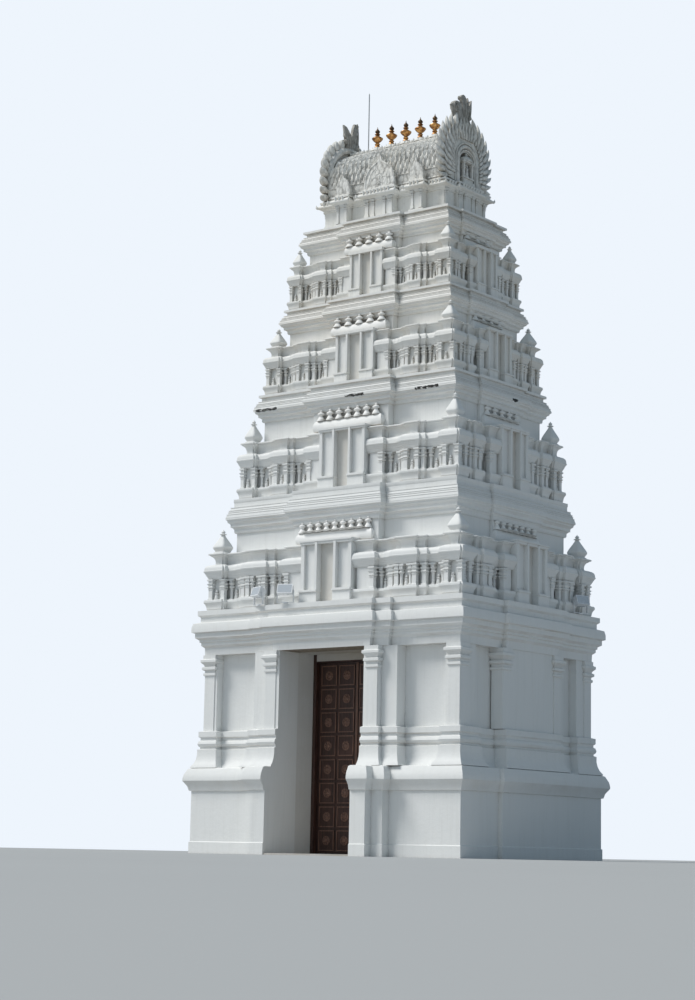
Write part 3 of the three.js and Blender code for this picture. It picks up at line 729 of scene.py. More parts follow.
TIERS = [
    tier_sizes(1, 1.00, 1.00, wall=(3.252, 4.312), corner=(4.508, 3.268), half=0.32,
               flank=(1.70, 1.38), pavilion=((2.86, 0.67, 0.39), (2.24, 0.40, 0.22)), niche=(3.73, 4.96),
               pier=(0.957, 0.83), gap=(0.31, 0.25), canopy=((1.44, 3.40), (1.19, 4.42)), pots=(9, 7)),
    tier_sizes(2, 0.87, 1.00, wall=(2.650, 3.776), corner=(3.910, 2.625), half=0.29,
               flank=(1.45, 1.22), pavilion=((2.52, 0.42, 0.26), (1.85, 0.31, 0.17)), niche=(3.07, 4.32),
               pier=(0.870, 0.72), gap=(0.27, 0.22), canopy=((1.31, 2.84), (1.04, 3.88)), pots=(7, 5)),
    tier_sizes(3, 0.76, 0.85, wall=(2.122, 3.205), corner=(3.365, 2.152), half=0.28,
               flank=(1.24, 0.99), pavilion=((2.13, 0.44, 0.24), (1.48, 0.25, 0.13)), niche=(2.54, 3.75),
               pier=(0.734, 0.63), gap=(0.24, 0.19), canopy=((1.06, 2.36), (0.84, 3.30)), pots=(5, 4)),
    tier_sizes(4, 0.66, 0.79, wall=(1.678, 2.782), corner=(2.925, 1.711), half=0.23,
               flank=(1.09, 0.85), pavilion=((1.86, 0.36, 0.19), (1.22, 0.17, 0.0)), niche=(2.03, 3.245),
               pier=(0.634, 0.55), gap=(0.20, 0.16), canopy=((0.93, 1.92), (0.72, 2.88)), pots=(5, 3)),
]
FLANK_FORWARD = 0.01  # the wide pavilion beside the niche stands this far before the corner ones
LOW_WALL_BACK = 0.20  # the low wall between the pavilions lies this far back
SHOULDER_BACK = 0.095  # and the sides of a pavilion this far
CORNER_NOTCH = 0.06
INWARD = 0.6  # how far the rectangles reach back into the wall, so that all of them join


def four_ways(x, y):
    return [(sx * x, sy * y) for sx in (-1, 1) for sy in (-1, 1)]


def front_and_back(rect):
    """A rectangle in front of the middle of a wall, and its mirror images on all sides that match it."""
    x0, y0, x1, y1 = rect
    return [(x0, y0, x1, y1), (-x1, y0, -x0, y1), (x0, -y1, x1, -y0), (-x1, -y1, -x0, -y0)]


def turned_quarter(rect):
    x0, y0, x1, y1 = rect
    return (-y1, x0, -y0, x1)


def parapet_plan(tier):
    s = tier["spread"]
    plan = [rectangle(tier["wall"][1], tier["wall"][0])]
    for side in (0, 1):
        face = tier["face"][side]
        inner = tier["pier"][side] - 0.25 * s
        place, wide, core = tier["pavilion"][side]
        flank = tier["flank"][side]
        parts = [
            (inner, -(face - LOW_WALL_BACK * s), tier["face"][1 - side] - LOW_WALL_BACK * s, -face + INWARD),
            (tier["pier"][side] + 0.01 * s, -(face + FLANK_FORWARD * s), flank, -face + INWARD),
            (place - wide, -(face - SHOULDER_BACK * s), place + wide, -face + INWARD),
        ]
        if core:
            parts.append((place - core, -(face + 0.01), place + core, -face + INWARD))
        if side:
            parts = [turned_quarter(rect) for rect in parts]
        for rect in parts:
            plan.extend(front_and_back(rect))
    half = tier["half"]
    notch = CORNER_NOTCH * s
    for x, y in four_ways(*tier["corner"]):
        plan.append(rectangle(half, half - notch, x, y))
        plan.append(rectangle(half - notch, half, x, y))
    return outline(plan)


for tier in TIERS:
    tier["plan"] = parapet_plan(tier)
print("parapet plans:", [len(tier["plan"]) for tier in TIERS], "corners")

# %% [markdown]
# One profile runs round the whole parapet. From the bottom it has a foot, a flared ledge on which the
# columns stand, a deep strip of shade behind them, the beam with two thin ledges, a rolled eave with a sharp
# drip, a neck and a last ledge. On site such mouldings are run with a sheet-metal template; sweep() is the
# same tool.

# %% Parapet mouldings
COLUMN_FOOT, BEAM_FOOT = 0.345, 1.00  # heights above the floor, at full rise
SHADE_DEPTH = 0.13  # how deep the wall lies behind the face of the columns
LEDGE_TOP = 1.83
PARAPET_PROFILE = [
    (0.020, 0.000), (0.020, 0.055), (0.034, 0.062), (0.034, 0.095), (0.045, 0.150), (0.068, 0.210),
    (0.096, 0.250), (0.104, 0.262), (0.104, 0.320), (0.092, 0.330), (0.092, COLUMN_FOOT),
    (-SHADE_DEPTH, COLUMN_FOOT + 0.005), (-SHADE_DEPTH, BEAM_FOOT), (0.002, BEAM_FOOT + 0.002),
    (0.002, 1.026), (0.020, 1.032), (0.020, 1.056), (0.034, 1.066), (0.042, 1.100), (0.058, 1.112),
    (0.068, 1.150), (0.084, 1.166), (0.094, 1.200), (0.112, 1.214), (0.124, 1.234), (0.126, 1.262),
    (0.112, 1.274), (0.112, 1.318), (0.104, 1.362), (0.084, 1.402), (0.044, 1.436), (-0.022, 1.460),
    (-0.090, 1.474), (-0.126, 1.482), (-0.136, 1.498), (-0.140, 1.560), (-0.132, 1.620), (-0.112, 1.672),
    (-0.080, 1.714), (-0.040, 1.744), (-0.020, 1.752), (-0.020, 1.770), (0.020, 1.782), (0.034, 1.788),
    (0.034, 1.814), (0.016, 1.820), (0.004, LEDGE_TOP),
]
COLUMN_RISE = (BEAM_FOOT - COLUMN_FOOT) / 0.868  # the columns are drawn 0.868 high


def runs_to_piers(tier, profile):
    """Straight lengths of the moulding, to close the gap between the parapet and the piers of the shrines."""
    s, runs = tier["spread"], []
    for side in (0, 1):
        face, pier = tier["face"][side], tier["pier"][side]
        top = profile[-1][1] - 0.004  # just below the ring, so the two tops don't lie in one plane
        section = [(face + FLANK_FORWARD * s + offset - 0.002, min(z, top)) for offset, z in profile]
        section += [(face - 0.4, top), (face - 0.4, profile[0][1])]
        reach = (pier - 0.11 * s, pier + 0.20 * s)
        ends = [np.array([(x, -depth, z) for depth, z in section]) for x in reach]
        run = mirrored(loft(ends)).turned(side * math.pi / 2)
        runs += [run, run.turned(math.pi)]
    return runs


for tier in TIERS:
    profile = [(offset * tier["spread"], tier["floor"] + height * tier["rise"])
               for offset, height in PARAPET_PROFILE]
    ring = together([sweep(profile, tier["plan"]), *runs_to_piers(tier, profile)])
    piece(f"parapet_{tier['number']}_mouldings", ring, tier_paint(tier),
          replaces=[f"tier_{tier['number']}_parapet"])

# %% [markdown]
# The columns are what gives the parapet its sparkle: slim shafts with ringed, cushion-shaped heads and
# brackets above, so close together that only dark slits stay between them. Hundreds are needed and two are
# enough to make: a round column, mostly turned on the lathe, and a square pillar. The little figure for the
# niches is a plain turned shape, since nobody can make out more from the ground.

# %% One column, one pillar, one figure
COLUMN_PROFILE = [
    (0.000, 0.045), (0.052, 0.045), (0.054, 0.066), (0.041, 0.090), (0.037, 0.115), (0.037, 0.425),
    (0.050, 0.440), (0.050, 0.456), (0.038, 0.468), (0.046, 0.492), (0.068, 0.520), (0.074, 0.545),
    (0.062, 0.574), (0.042, 0.592), (0.048, 0.622), (0.080, 0.664), (0.088, 0.682), (0.000, 0.686),
]
PILLAR_PROFILE = [
    (0.076, 0.000), (0.076, 0.055), (0.060, 0.072), (0.060, 0.430), (0.074, 0.444), (0.074, 0.462),
    (0.058, 0.474), (0.070, 0.508), (0.088, 0.532), (0.088, 0.558), (0.064, 0.586), (0.064, 0.610),
    (0.092, 0.660), (0.098, 0.686), (0.066, 0.690), (0.066, 0.790), (0.098, 0.812), (0.098, 0.868),
]
FIGURE_PROFILE = [
    (0.000, 0.000), (0.066, 0.000), (0.070, 0.040), (0.050, 0.060), (0.054, 0.130), (0.040, 0.190),
    (0.034, 0.225), (0.052, 0.265), (0.050, 0.290), (0.020, 0.308), (0.020, 0.322), (0.036, 0.340),
    (0.038, 0.366), (0.030, 0.388), (0.030, 0.402), (0.018, 0.430), (0.000, 0.440),
]


def square_post(profile):
    """A post whose plan is a square of the profile's half widths."""
    return loft([
        np.array([(-h, -h, z), (h, -h, z), (h, h, z), (-h, h, z)]) for h, z in profile
    ])


def column():
    foot = slab(-0.058, 0.058, -0.058, 0.058, 0.0, 0.046)
    stub = slab(-0.046, 0.046, -0.050, 0.050, 0.684, 0.800)
    bracket = slab(-0.086, 0.086, -0.070, 0.070, 0.798, 0.868)
    return together([foot, lathe(COLUMN_PROFILE, 10), stub, bracket])


one_column = column()
one_pillar = square_post(PILLAR_PROFILE)
one_figure = lathe(FIGURE_PROFILE, 8)
print("a column has", len(one_column.faces), "faces, a pillar", len(one_pillar.faces))

# %% [markdown]
# The pillars go to the outer corners of the plan and the columns, evenly spaced, between them. Setting them
# by hand would take days, so a walk round the plan does it: each wall knows its length and which of its ends
# are outer corners. In the middle of each pavilion the columns leave a small niche free, where a little
# figure stands. The pavilion next to the shrine has a plain sunken panel instead.

# %% Rows of columns
COLUMN_STEP = 0.20
PILLAR_INSET, COLUMN_INSET, FIGURE_INSET = 0.066, 0.060, 0.09  # behind the face of the beam
SHORT_WALL, WALL_WITH_NICHE = 0.24, 0.45
PANEL_MARGIN_IN_WALL = 0.10
PILLAR_GIRTH, COLUMN_GIRTH = 1.18, 1.30


def sunken_panel(tier, centre, direction, length):
    """A plain panel on a wall of the given length, in place of its columns."""
    s, rise = tier["spread"], tier["rise"]
    half = 0.5 * length - PANEL_MARGIN_IN_WALL * s
    plate = slab(-half, half, -0.24 * SHADE_DEPTH * s, 0.5 * SHADE_DEPTH * s,
                 COLUMN_FOOT * rise, BEAM_FOOT * rise)
    return plate.turned(math.atan2(direction.y, direction.x)).moved(centre.x, centre.y, tier["floor"])


def column_places(tier):
    """The middles of the pillars, columns and little figures round a parapet, and its plain panels."""
    s = tier["spread"]
    corners = tier["plan"]
    along, outward = walls_of(corners)
    count = len(corners)
    outer = [along[k - 1].cross(along[k]) > 0 for k in range(count)]
    pillars, columns, figures, panels = [], [], [], []
    for k in range(count):
        start, end = corners[k], corners[(k + 1) % count]
        length = (end - start).length
        reach = [abs(start.x), abs(start.y)]
        by_niche = any(reach[i] < tier["pier"][i] + 0.2 * s for i in (0, 1))
        if outer[k] and not by_niche and length > 0.10 * s and (start - corners[k - 1]).length > 0.05 * s:
            pillars.append(start - (outward[k - 1] + outward[k]) * PILLAR_INSET * s)
        centre = (start + end) / 2
        side = 0 if abs(outward[k].y) > 0.5 else 1
        across = abs(centre.x) if side == 0 else abs(centre.y)
        beside_shrine = across < tier["flank"][side]
        if beside_shrine and length > SHORT_WALL * s:
            middle = centre - outward[k] * 0.5 * SHADE_DEPTH * s
            panels.append(sunken_panel(tier, middle, along[k], length))
        if beside_shrine or length < SHORT_WALL * s:
            continue
        low = (PILLAR_INSET if outer[k] else -0.02) * s
        high = length - (PILLAR_INSET if outer[(k + 1) % count] else -0.02) * s
        steps = max(1, round((high - low) / (COLUMN_STEP * s)))
        has_niche = length > WALL_WITH_NICHE * s
        if has_niche and steps % 2:
            steps += 1
        for i in range(1, steps):
            distance = low + (high - low) * i / steps
            spot = start + along[k] * distance
            if has_niche and 2 * i == steps:
                figures.append(spot - outward[k] * FIGURE_INSET * s)
            else:
                columns.append(spot - outward[k] * COLUMN_INSET * s)
    return (pillars, columns, figures), panels


for tier in TIERS:
    s, rise = tier["spread"], tier["rise"]
    foot = tier["floor"] + COLUMN_FOOT * rise
    counts = []
    post_places, row = column_places(tier)
    for form, places in zip((one_pillar, one_column, one_figure), post_places):
        stout = s * (PILLAR_GIRTH if form is one_pillar else COLUMN_GIRTH)
        small = form.sized(stout, stout, rise * COLUMN_RISE)
        row.extend(small.moved(x, y, foot) for x, y in places)
        counts.append(len(places))
    piece(f"parapet_{tier['number']}_columns", together(row), tier_paint(tier))
    print(f"tier {tier['number']}: {counts[0]} pillars, {counts[1]} columns, {counts[2]} figures")

# %% [markdown]
# A bulbous dome on a square plan crowns each corner pavilion. It stands on a low square block, swells, and
# runs up in four faces with hardly rounded edges. A superellipse gives such sections: the power decides
# how square they are. The finial on top is turned: a disc, a neck and a bud.

# %% Corner domes
CAP_PROFILE = [(0.235, 0.000), (0.235, 0.050), (0.222, 0.060), (0.200, 0.066)]
DOME_PROFILE = [
    (0.188, 0.060), (0.192, 0.085), (0.206, 0.115), (0.230, 0.150), (0.250, 0.185), (0.255, 0.205),
    (0.248, 0.232), (0.230, 0.275), (0.204, 0.325), (0.174, 0.375), (0.143, 0.428), (0.111, 0.482),
    (0.083, 0.532), (0.060, 0.575), (0.046, 0.606),
]
DOME_FINIAL = [
    (0.000, 0.600), (0.046, 0.606), (0.060, 0.614), (0.096, 0.624), (0.100, 0.636), (0.074, 0.650),
    (0.040, 0.660), (0.038, 0.672), (0.054, 0.686), (0.060, 0.704), (0.050, 0.724), (0.028, 0.744),
    (0.012, 0.764), (0.000, 0.785),
]
SQUARENESS = 7.0
DOME_DRAWN_FOR = 0.32  # half of the corner pavilion that the profiles were drawn for


def rounded_square(half, height, points=40):
    """A ring between a circle and a square."""
    ring = []
    for i in range(points):
        angle = 2 * math.pi * (i + 0.5) / points
        c, s = math.cos(angle), math.sin(angle)
        reach = half / (abs(c) ** SQUARENESS + abs(s) ** SQUARENESS) ** (1 / SQUARENESS)
        ring.append((c * reach, s * reach, height))
    return np.array(ring)


dome = together([
    loft([rounded_square(half, height) for half, height in CAP_PROFILE]),
    loft([rounded_square(half, height) for half, height in DOME_PROFILE]),
    lathe(DOME_FINIAL, 14).sized(1.15, 1.15, 1.0),
])
for tier in TIERS:
    s = tier["half"] / DOME_DRAWN_FOR
    copy = dome.sized(s, s, tier["rise"])
    top = tier["floor"] + (LEDGE_TOP - 0.005) * tier["rise"]
    four = together([copy.moved(x, y, top) for x, y in four_ways(*tier["corner"])])
    piece(f"corner_domes_{tier['number']}", four, white_plaster)

# %% [markdown]
# In the middle of each side stands a shrine front: two broad piers on pedestals, each a sunken panel between
# narrow strips, a lintel over them, and behind it on the wall a fat rolled canopy with a row of little pots.
# The niche between the piers is empty, and its back wall is stained. Behind the pots the wall is painted
# nearly black, which is painted shade. One shrine is made for a wall that faces the front, and then turned
# to the other three sides.

# %% Niche shrines
CANOPY_PROFILE = [
    (-0.140, 1.850), (-0.140, 1.880), (-0.040, 1.886), (-0.018, 1.894), (-0.008, 1.916), (0.008, 1.950),
    (0.018, 1.990), (0.022, 2.036), (0.018, 2.080), (0.006, 2.124), (-0.014, 2.166), (-0.042, 2.204),
    (-0.078, 2.234), (-0.120, 2.254), (-0.170, 2.264), (-0.300, 2.268),
]
POT_PROFILE = [
    (0.000, -0.030), (0.098, -0.030), (0.096, 0.000), (0.080, 0.036), (0.060, 0.080), (0.046, 0.112),
    (0.040, 0.132), (0.058, 0.146), (0.080, 0.166), (0.086, 0.190), (0.078, 0.214), (0.054, 0.232),
    (0.030, 0.244), (0.028, 0.262), (0.040, 0.280), (0.026, 0.304), (0.000, 0.330),
]
POT_REACH = ((1.268, 1.017), (1.066, 0.80), (0.86, 0.66), (0.78, 0.55))  # to the middle of the last pot
LINTEL_HEIGHT = (0.045, 0.060, 0.090, 0.110)
POT_FILL = 0.78  # how much of the row the pots take up
MOST_STOUT, MOST_DEEP = 1.5, 1.1  # limits to the widening of a pot, along the row and across it
SHRINE_TOP, POT_FOOT = 1.915, 2.262
STRIP = 0.12
INNER_STRIP_FORWARD = 0.05
PANEL_DEPTH = 0.09
NICHE_DEPTH = 0.17


def shrine(tier, side):
    """Piers, canopy, niche back and the dark sheet behind the pots of a shrine on the front (side 0) or flank
    (side 1) of a tier. The dark sheet is painted shade.
    """
    s, rise = tier["spread"], tier["rise"]
    face, back = tier["niche"][side], tier["wall"][side]
    pier, gap = tier["pier"][side], tier["gap"][side]
    foot = tier["floor"]

    def block(x0, x1, forward, z0, z1):
        return slab(x0, x1, -(face + forward * s), -back, foot + z0 * rise, foot + z1 * rise)

    pier_half = [
        block(gap + 0.006, pier - 0.006, -PANEL_DEPTH, 0.0, 1.85),
        block(gap, gap + 0.75 * STRIP * s, INNER_STRIP_FORWARD, 0.415, 1.85),
        block(pier - STRIP * s, pier, 0.0, 0.415, 1.85),
        block(gap + 0.003, pier - 0.003, -0.02, 1.79, 1.848),
        block(gap - 0.012, pier + 0.02 * s, 0.075, 0.0, 0.06),
        block(gap, pier + 0.01 * s, 0.055, 0.06, 0.345),
        block(gap - 0.015, pier + 0.035 * s, 0.095, 0.345, 0.39),
        block(gap - 0.006, pier + 0.022 * s, 0.070, 0.39, 0.418),
    ]
    canopy_half, canopy_face = tier["canopy"][side]
    number = tier["number"] - 1
    band = SHRINE_TOP - LINTEL_HEIGHT[number]
    front = [
        mirrored(together(pier_half)),
        block(-pier - 0.03 * s, pier + 0.03 * s, 0.030, 1.80, band),
        block(-pier - 0.045 * s, pier + 0.045 * s, 0.060, band, SHRINE_TOP),
        block(-gap, gap, -0.06, 0.0, 0.055),
    ]
    roll_plan = outline([(-canopy_half, -canopy_face, canopy_half, -back + 0.05)])
    canopy = [sweep([(offset * s, foot + height * rise) for offset, height in CANOPY_PROFILE], roll_plan)]
    pots = tier["pots"][side]
    reach = POT_REACH[number][side]
    spacing = 2 * reach / (pots - 1)
    stout = min(POT_FILL * spacing / (2 * POT_PROFILE[1][0]), MOST_STOUT)
    pot = lathe(POT_PROFILE, 14).sized(stout, min(stout, MOST_DEEP), rise)
    row = -(canopy_face - 0.085 * s)
    canopy += [pot.moved(-reach + spacing * i, row, foot + POT_FOOT * rise) for i in range(pots)]
    niche = slab(-gap - 0.01, gap + 0.01, -(face - NICHE_DEPTH * s), -back, foot + 0.005, foot + 1.845 * rise)
    # a sheet painted nearly black behind the pots: painted shade
    pot_shade_half = reach + 0.05 * s
    soot_and_shade = slab(-pot_shade_half, pot_shade_half, -back - 0.012, -back + 0.01, foot + 2.25 * rise, foot + 2.43 * rise)
    return together(front), together(canopy), niche, soot_and_shade


for tier in TIERS:
    kinds = [[], [], [], []]
    for side in (0, 1):
        for kind, form in zip(kinds, shrine(tier, side)):
            kind += [form.turned(half_turn + side * math.pi / 2) for half_turn in (0, math.pi)]
    paints = (tier_paint(tier), brightened_plaster, niche_plaster, painted_shade_plaster)
    for name, kind, paint in zip(("shrines", "canopies", "niche_backs", "painted_pot_shade"), kinds, paints):
        piece(f"{name}_{tier['number']}", together(kind), paint)

# %% [markdown]
# The sloping cornice under each deck is banded: five thin beads run round it, one above the other, and catch
# the light as fine lines. Below its drip, two square mouldings step back to the wall.

# %% Cornice beads
TIER_PLANS = [
    [(4.202, 2.962), (1.60, 3.252), (4.312, 1.20)], [(3.666, 2.380), (1.45, 2.650), (3.776, 1.12)],
    [(3.105, 1.892), (1.18, 2.122), (3.205, 0.90)], [(2.692, 1.478), (1.00, 1.678), (2.782, 0.77)],
]  # half sizes of the wall and of its middle bays, tier by tier
CORNICE_RISES = (0.659, 0.530, 0.474, 0.469)  # from drip to slab top, tier by tier
BEADS = [(0.262, 0.045), (0.239, 0.150), (0.208, 0.220), (0.193, 0.276), (0.152, 0.372)]  # offset, height
BEAD_RELIEF, BEAD_HEIGHT = 0.011, 0.022
UNDER_STEPS = [  # profile of the mouldings below the drip, from bottom to top
    (-0.02, -0.425), (0.052, -0.425), (0.052, -0.400), (0.066, -0.392), (0.066, -0.300), (0.084, -0.286),
    (0.096, -0.262), (0.118, -0.250), (0.152, -0.236), (0.152, -0.150), (0.168, -0.138), (0.180, -0.112),
    (0.206, -0.100), (0.226, -0.070), (0.226, -0.020), (0.10, 0.00),
]

for tier, halves in zip(TIERS, TIER_PLANS):
    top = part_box(f"tier_{tier['number']}_deck")[1].z
    drip = top - CORNICE_RISES[tier["number"] - 1]
    k = (top - drip) / CORNICE_RISES[0]  # the profiles were drawn for the first tier
    plan = outline([rectangle(*half) for half in halves])
    rings = []
    for offset, height in BEADS:
        z = drip + height * k
        inner, outer = offset - 0.03, offset + BEAD_RELIEF
        section = [(inner, z), (outer, z + 0.003), (outer, z + BEAD_HEIGHT), (inner, z + BEAD_HEIGHT + 0.006)]
        rings.append(sweep(section, plan))
    rings.append(sweep([(offset, drip + height * k) for offset, height in UNDER_STEPS], plan))
    finish = (white_plaster, chipped_plaster, brightened_upper_plaster, brightened_upper_plaster)[tier["number"] - 1]
    piece(f"cornice_beads_{tier['number']}", together(rings), finish)

# %% [markdown]
# The roof is carved in a freer way than the tiers, and needs more ways of shaping clay. prism() presses an
# outline out of a sheet. tube() rolls a string along a drawn line, and arc() and scroll() draw such lines,
# for mouldings that bend and for spirals. A curve object with a bevel would do the same as tube(), but here
# the string has to be clay too, so that it can be copied and turned with the rest.

# %% Sheets and strings
def prism(outline_points, front, back):
    """An outline of (x, z) points pressed out from y = front to y = back."""
    flat = np.asarray(outline_points, float)
    return loft([
        np.column_stack([flat[:, 0], np.full(len(flat), y), flat[:, 1]]) for y in (front, back)
    ])


def tube(line, y, radii, sides=8):
    """A round string along a line of (x, z) points in an upright plane."""
    line = np.asarray(line, float)
    radii = np.broadcast_to(np.asarray(radii, float), len(line))
    heading = np.gradient(line, axis=0)
    heading /= np.linalg.norm(heading, axis=1)[:, None]
    across = np.column_stack([heading[:, 1], -heading[:, 0]])
    angles = np.arange(sides) * 2 * math.pi / sides
    rings = []
    for centre, side, radius in zip(line, across, radii):
        rings.append(np.array([
            (centre[0] + side[0] * math.cos(a) * radius, y + math.sin(a) * radius,
             centre[1] + side[1] * math.cos(a) * radius) for a in angles
        ]))
    return loft(rings)


def scroll(x, z, size, turns=1.4, start=0.0, hand=1, steps=18):
    """The line of a spiral that ends at (x, z)."""
    line = []
    for i in range(steps + 1):
        t = i / steps
        angle = start + hand * turns * 2 * math.pi * t
        radius = size * (1 - 0.82 * t)
        line.append((x + radius * math.cos(angle), z + radius * math.sin(angle)))
    return line


def arc(rx, rz, cx, cz, start, end, steps=24):
    angles = np.linspace(start, end, steps + 1)
    return np.column_stack([cx + rx * np.cos(angles), cz + rz * np.sin(angles)])


print("a scroll has", len(scroll(0, 0, 1)), "points")

# %% [markdown]
# Two small forms make up most of the carving. leaf() is a pointed leaf with a raised middle rib. flame() is a
# fat curved tongue, thick in the middle, as the fringe of the gables has them. Both are skins over rings that
# swell and shrink along the way. A sheet cut to the same outline would be less work, but its tip would be as
# thick as its foot.

# %% Leaves and flames
def leaf(length, width, rise, curl=0.0, steps=6):
    """A pointed leaf that grows up from the origin and faces the front. Its tip leans forward by curl."""
    rings = []
    for i in range(steps + 1):
        t = i / steps
        swell = 0.30 + 0.70 * math.sin(math.pi * min(1.0, 0.15 + 0.85 * t) ** 0.8)
        half = 0.5 * width * swell * (1 - t ** 5)
        half = max(half, 0.002)
        high = rise * math.sin(math.pi * (0.15 + 0.80 * t))
        lean = -curl * t * t
        rings.append(np.array([
            (-half, lean, t * length), (-0.45 * half, lean - 0.45 * high, t * length),
            (0.0, lean - high, t * length), (0.45 * half, lean - 0.45 * high, t * length),
            (half, lean, t * length), (0.0, lean + 0.4 * rise, t * length),
        ]))
    return loft(rings)


def flame(base, tip, width, thick, y=0.0, bow=0.16, steps=8, sides=8, blunt=1.15):
    """A curved tongue from base to tip, both (x, z). It bows away to the right of its way up."""
    base, tip = np.asarray(base, float), np.asarray(tip, float)
    reach = tip - base
    right = np.array([reach[1], -reach[0]])
    rings = []
    for i in range(steps + 1):
        t = i / steps
        centre = base + reach * t + right * bow * math.sin(math.pi * t)
        heading = reach + right * bow * math.pi * math.cos(math.pi * t)
        heading /= np.linalg.norm(heading)
        across = np.array([heading[1], -heading[0]])
        swell = 0.62 + 0.38 * math.sin(0.5 * math.pi * min(1.0, t / 0.4))
        taper = 1 - max(0.0, (t - 0.30) / 0.70) ** blunt
        half = max(0.5 * width * swell * taper, 0.004)
        deep = max(0.5 * thick * swell * taper ** 0.8, 0.004)
        ring = []
        for k in range(sides):
            a = 2 * math.pi * k / sides
            ring.append((centre[0] + across[0] * half * math.cos(a), y + deep * math.sin(a),
                         centre[1] + across[1] * half * math.cos(a)))
        rings.append(np.array(ring))
    return loft(rings)


print("a leaf has", len(leaf(1, 1, 1).faces), "faces, a flame", len(flame((0, 0), (0, 1), 1, 1).faces))

# %% [markdown]
# Under the vault runs a neck with flat pilasters. They get feet, a ring and flared heads, each a few squared
# blocks on one another, as a mason builds them up. Half of the roof is made and turned round for the rest.

# %% Pilasters of the neck
NECK_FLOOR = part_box("roof_neck")[0].z
EAVE_FOOT, EAVE_TOP = (corner.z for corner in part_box("roof_eave"))
NECK_X, NECK_Y = 2.358, 1.137
BAY_FORWARD = 0.25
ROOF_PILASTERS = [
    (0.47, 0.062, BAY_FORWARD), (0.22, 0.045, BAY_FORWARD),
    (1.32, 0.042, BAY_FORWARD), (1.64, 0.042, BAY_FORWARD),
]  # place along the front, half width, how far its wall stands forward
SIDE_PILASTERS = [(0.47, 0.06, 0.12), (0.22, 0.04, 0.12), (1.05, 0.06, 0.0)]


def pilaster(half, low, high):
    """A flat pilaster for a wall at y = 0, with a foot, a ring and a flared head."""
    steps = [
        (1.35, 0.050, low, low + 0.09), (1.15, 0.038, low + 0.09, low + 0.12),
        (1.0, 0.028, low + 0.12, high - 0.20),
        (1.25, 0.042, high - 0.20, high - 0.175), (1.0, 0.030, high - 0.175, high - 0.14),
        (1.30, 0.050, high - 0.14, high - 0.105), (1.05, 0.034, high - 0.105, high - 0.075),
        (1.45, 0.062, high - 0.075, high - 0.04), (1.75, 0.075, high - 0.04, high),
    ]
    return together([slab(-half * w, half * w, -forward, 0.01, z0, z1) for w, forward, z0, z1 in steps])


row = []
for wall, quarter, places in ((NECK_Y, 0, ROOF_PILASTERS), (NECK_X, 1, SIDE_PILASTERS)):
    for place, half, forward in places:
        one = pilaster(half, low=NECK_FLOOR + 0.14, high=EAVE_FOOT - 0.04)
        row.append(mirrored(one.moved(place, -(wall + forward))).turned(quarter * math.pi / 2))
half_roof = together(row)
piece("roof_pilasters", together([half_roof, half_roof.turned(math.pi)]), old_plaster)

# %% [markdown]
# The roof's own eave has a thin sharp drip and two ledges over it. It is run round its plan like the
# parapets, and replaces the plainer one of the frame. Small rolled leaves lie along it, and its corners end
# in one larger leaf that curls up.

# %% Roof eave
eave_plan = outline([
    rectangle(NECK_X, NECK_Y), rectangle(0.56, NECK_Y + BAY_FORWARD),
    rectangle(0.21, NECK_Y + BAY_FORWARD, 1.48), rectangle(0.21, NECK_Y + BAY_FORWARD, -1.48),
    rectangle(NECK_X + 0.12, 0.56),
])
EAVE_PROFILE = [
    (0.020, -0.085), (0.044, -0.070), (0.044, -0.035), (0.066, -0.020), (0.090, 0.010), (0.150, 0.028),
    (0.196, 0.050), (0.206, 0.062), (0.206, 0.092), (0.188, 0.100), (0.166, 0.130), (0.130, 0.162),
    (0.104, 0.178), (0.104, 0.196), (0.134, 0.204), (0.134, 0.262), (0.090, 0.270), (0.090, 0.284),
    (0.066, 0.292), (0.056, 0.309),
]
eave = [sweep([(offset, EAVE_FOOT + height) for offset, height in EAVE_PROFILE], eave_plan)]
along, outward = walls_of(eave_plan)
leaf_on_eave = leaf(length=0.15, width=0.12, rise=0.045, curl=0.04, steps=4)
LEAF_ROOM, LEAF_FORWARD = 0.13, 0.165
for k, corner in enumerate(eave_plan):
    following = eave_plan[(k + 1) % len(eave_plan)]
    length = (following - corner).length
    heading = math.atan2(along[k].y, along[k].x)
    count = int(length / LEAF_ROOM)
    for i in range(count):
        spot = corner + along[k] * (length * (i + 0.5) / count) + outward[k] * LEAF_FORWARD
        eave.append(leaf_on_eave.turned(heading).moved(spot.x, spot.y, EAVE_FOOT + 0.085))
    if along[k - 1].cross(along[k]) > 0:
        diagonal = outward[k - 1] + outward[k]
        spot = corner + diagonal * LEAF_FORWARD
        curl = flame((0, 0), (0.07, 0.11), width=0.10, thick=0.10, bow=0.25, steps=6, sides=6)
        curl = curl.turned(math.atan2(diagonal.y, diagonal.x))
        eave.append(curl.moved(spot.x, spot.y, EAVE_FOOT + 0.06))
piece("roof_eave_leaves", together(eave), old_plaster, replaces=["roof_eave"])

# %% [markdown]
# The vault is covered with long hanging leaves, pointed like drops, in rows that overlap. They lie on a
# curved surface, so each is bent: its points are wrapped round the axis of the vault, which turns height
# along the sheet into an angle. A Simple Deform modifier could bend them too, but this keeps them exactly on
# the vault. Thin mouldings close the rows above and below.

# %% Vault leaves
VAULT_RADIUS, VAULT_CENTRE, VAULT_HALF = 1.25, 21.45, 2.20
RIDGE_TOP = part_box("ridge")[1].z
LEAF_ROWS = [
    (0.22, 0.22, 0.12, 0.040), (0.55, 0.34, 0.15, 0.055), (0.76, 0.42, 0.16, 0.070),
    (1.00, 0.46, 0.17, 0.080), (1.27, 0.40, 0.15, 0.060), (1.50, 0.22, 0.12, 0.040),
]  # angle from the top, length, width, thickness
LINES = [(0.165, 0.026), (0.43, 0.034), (0.51, 0.022), (1.66, 0.020), (1.90, 0.03)]  # angle, radius
LEAF_PITCH = 0.17


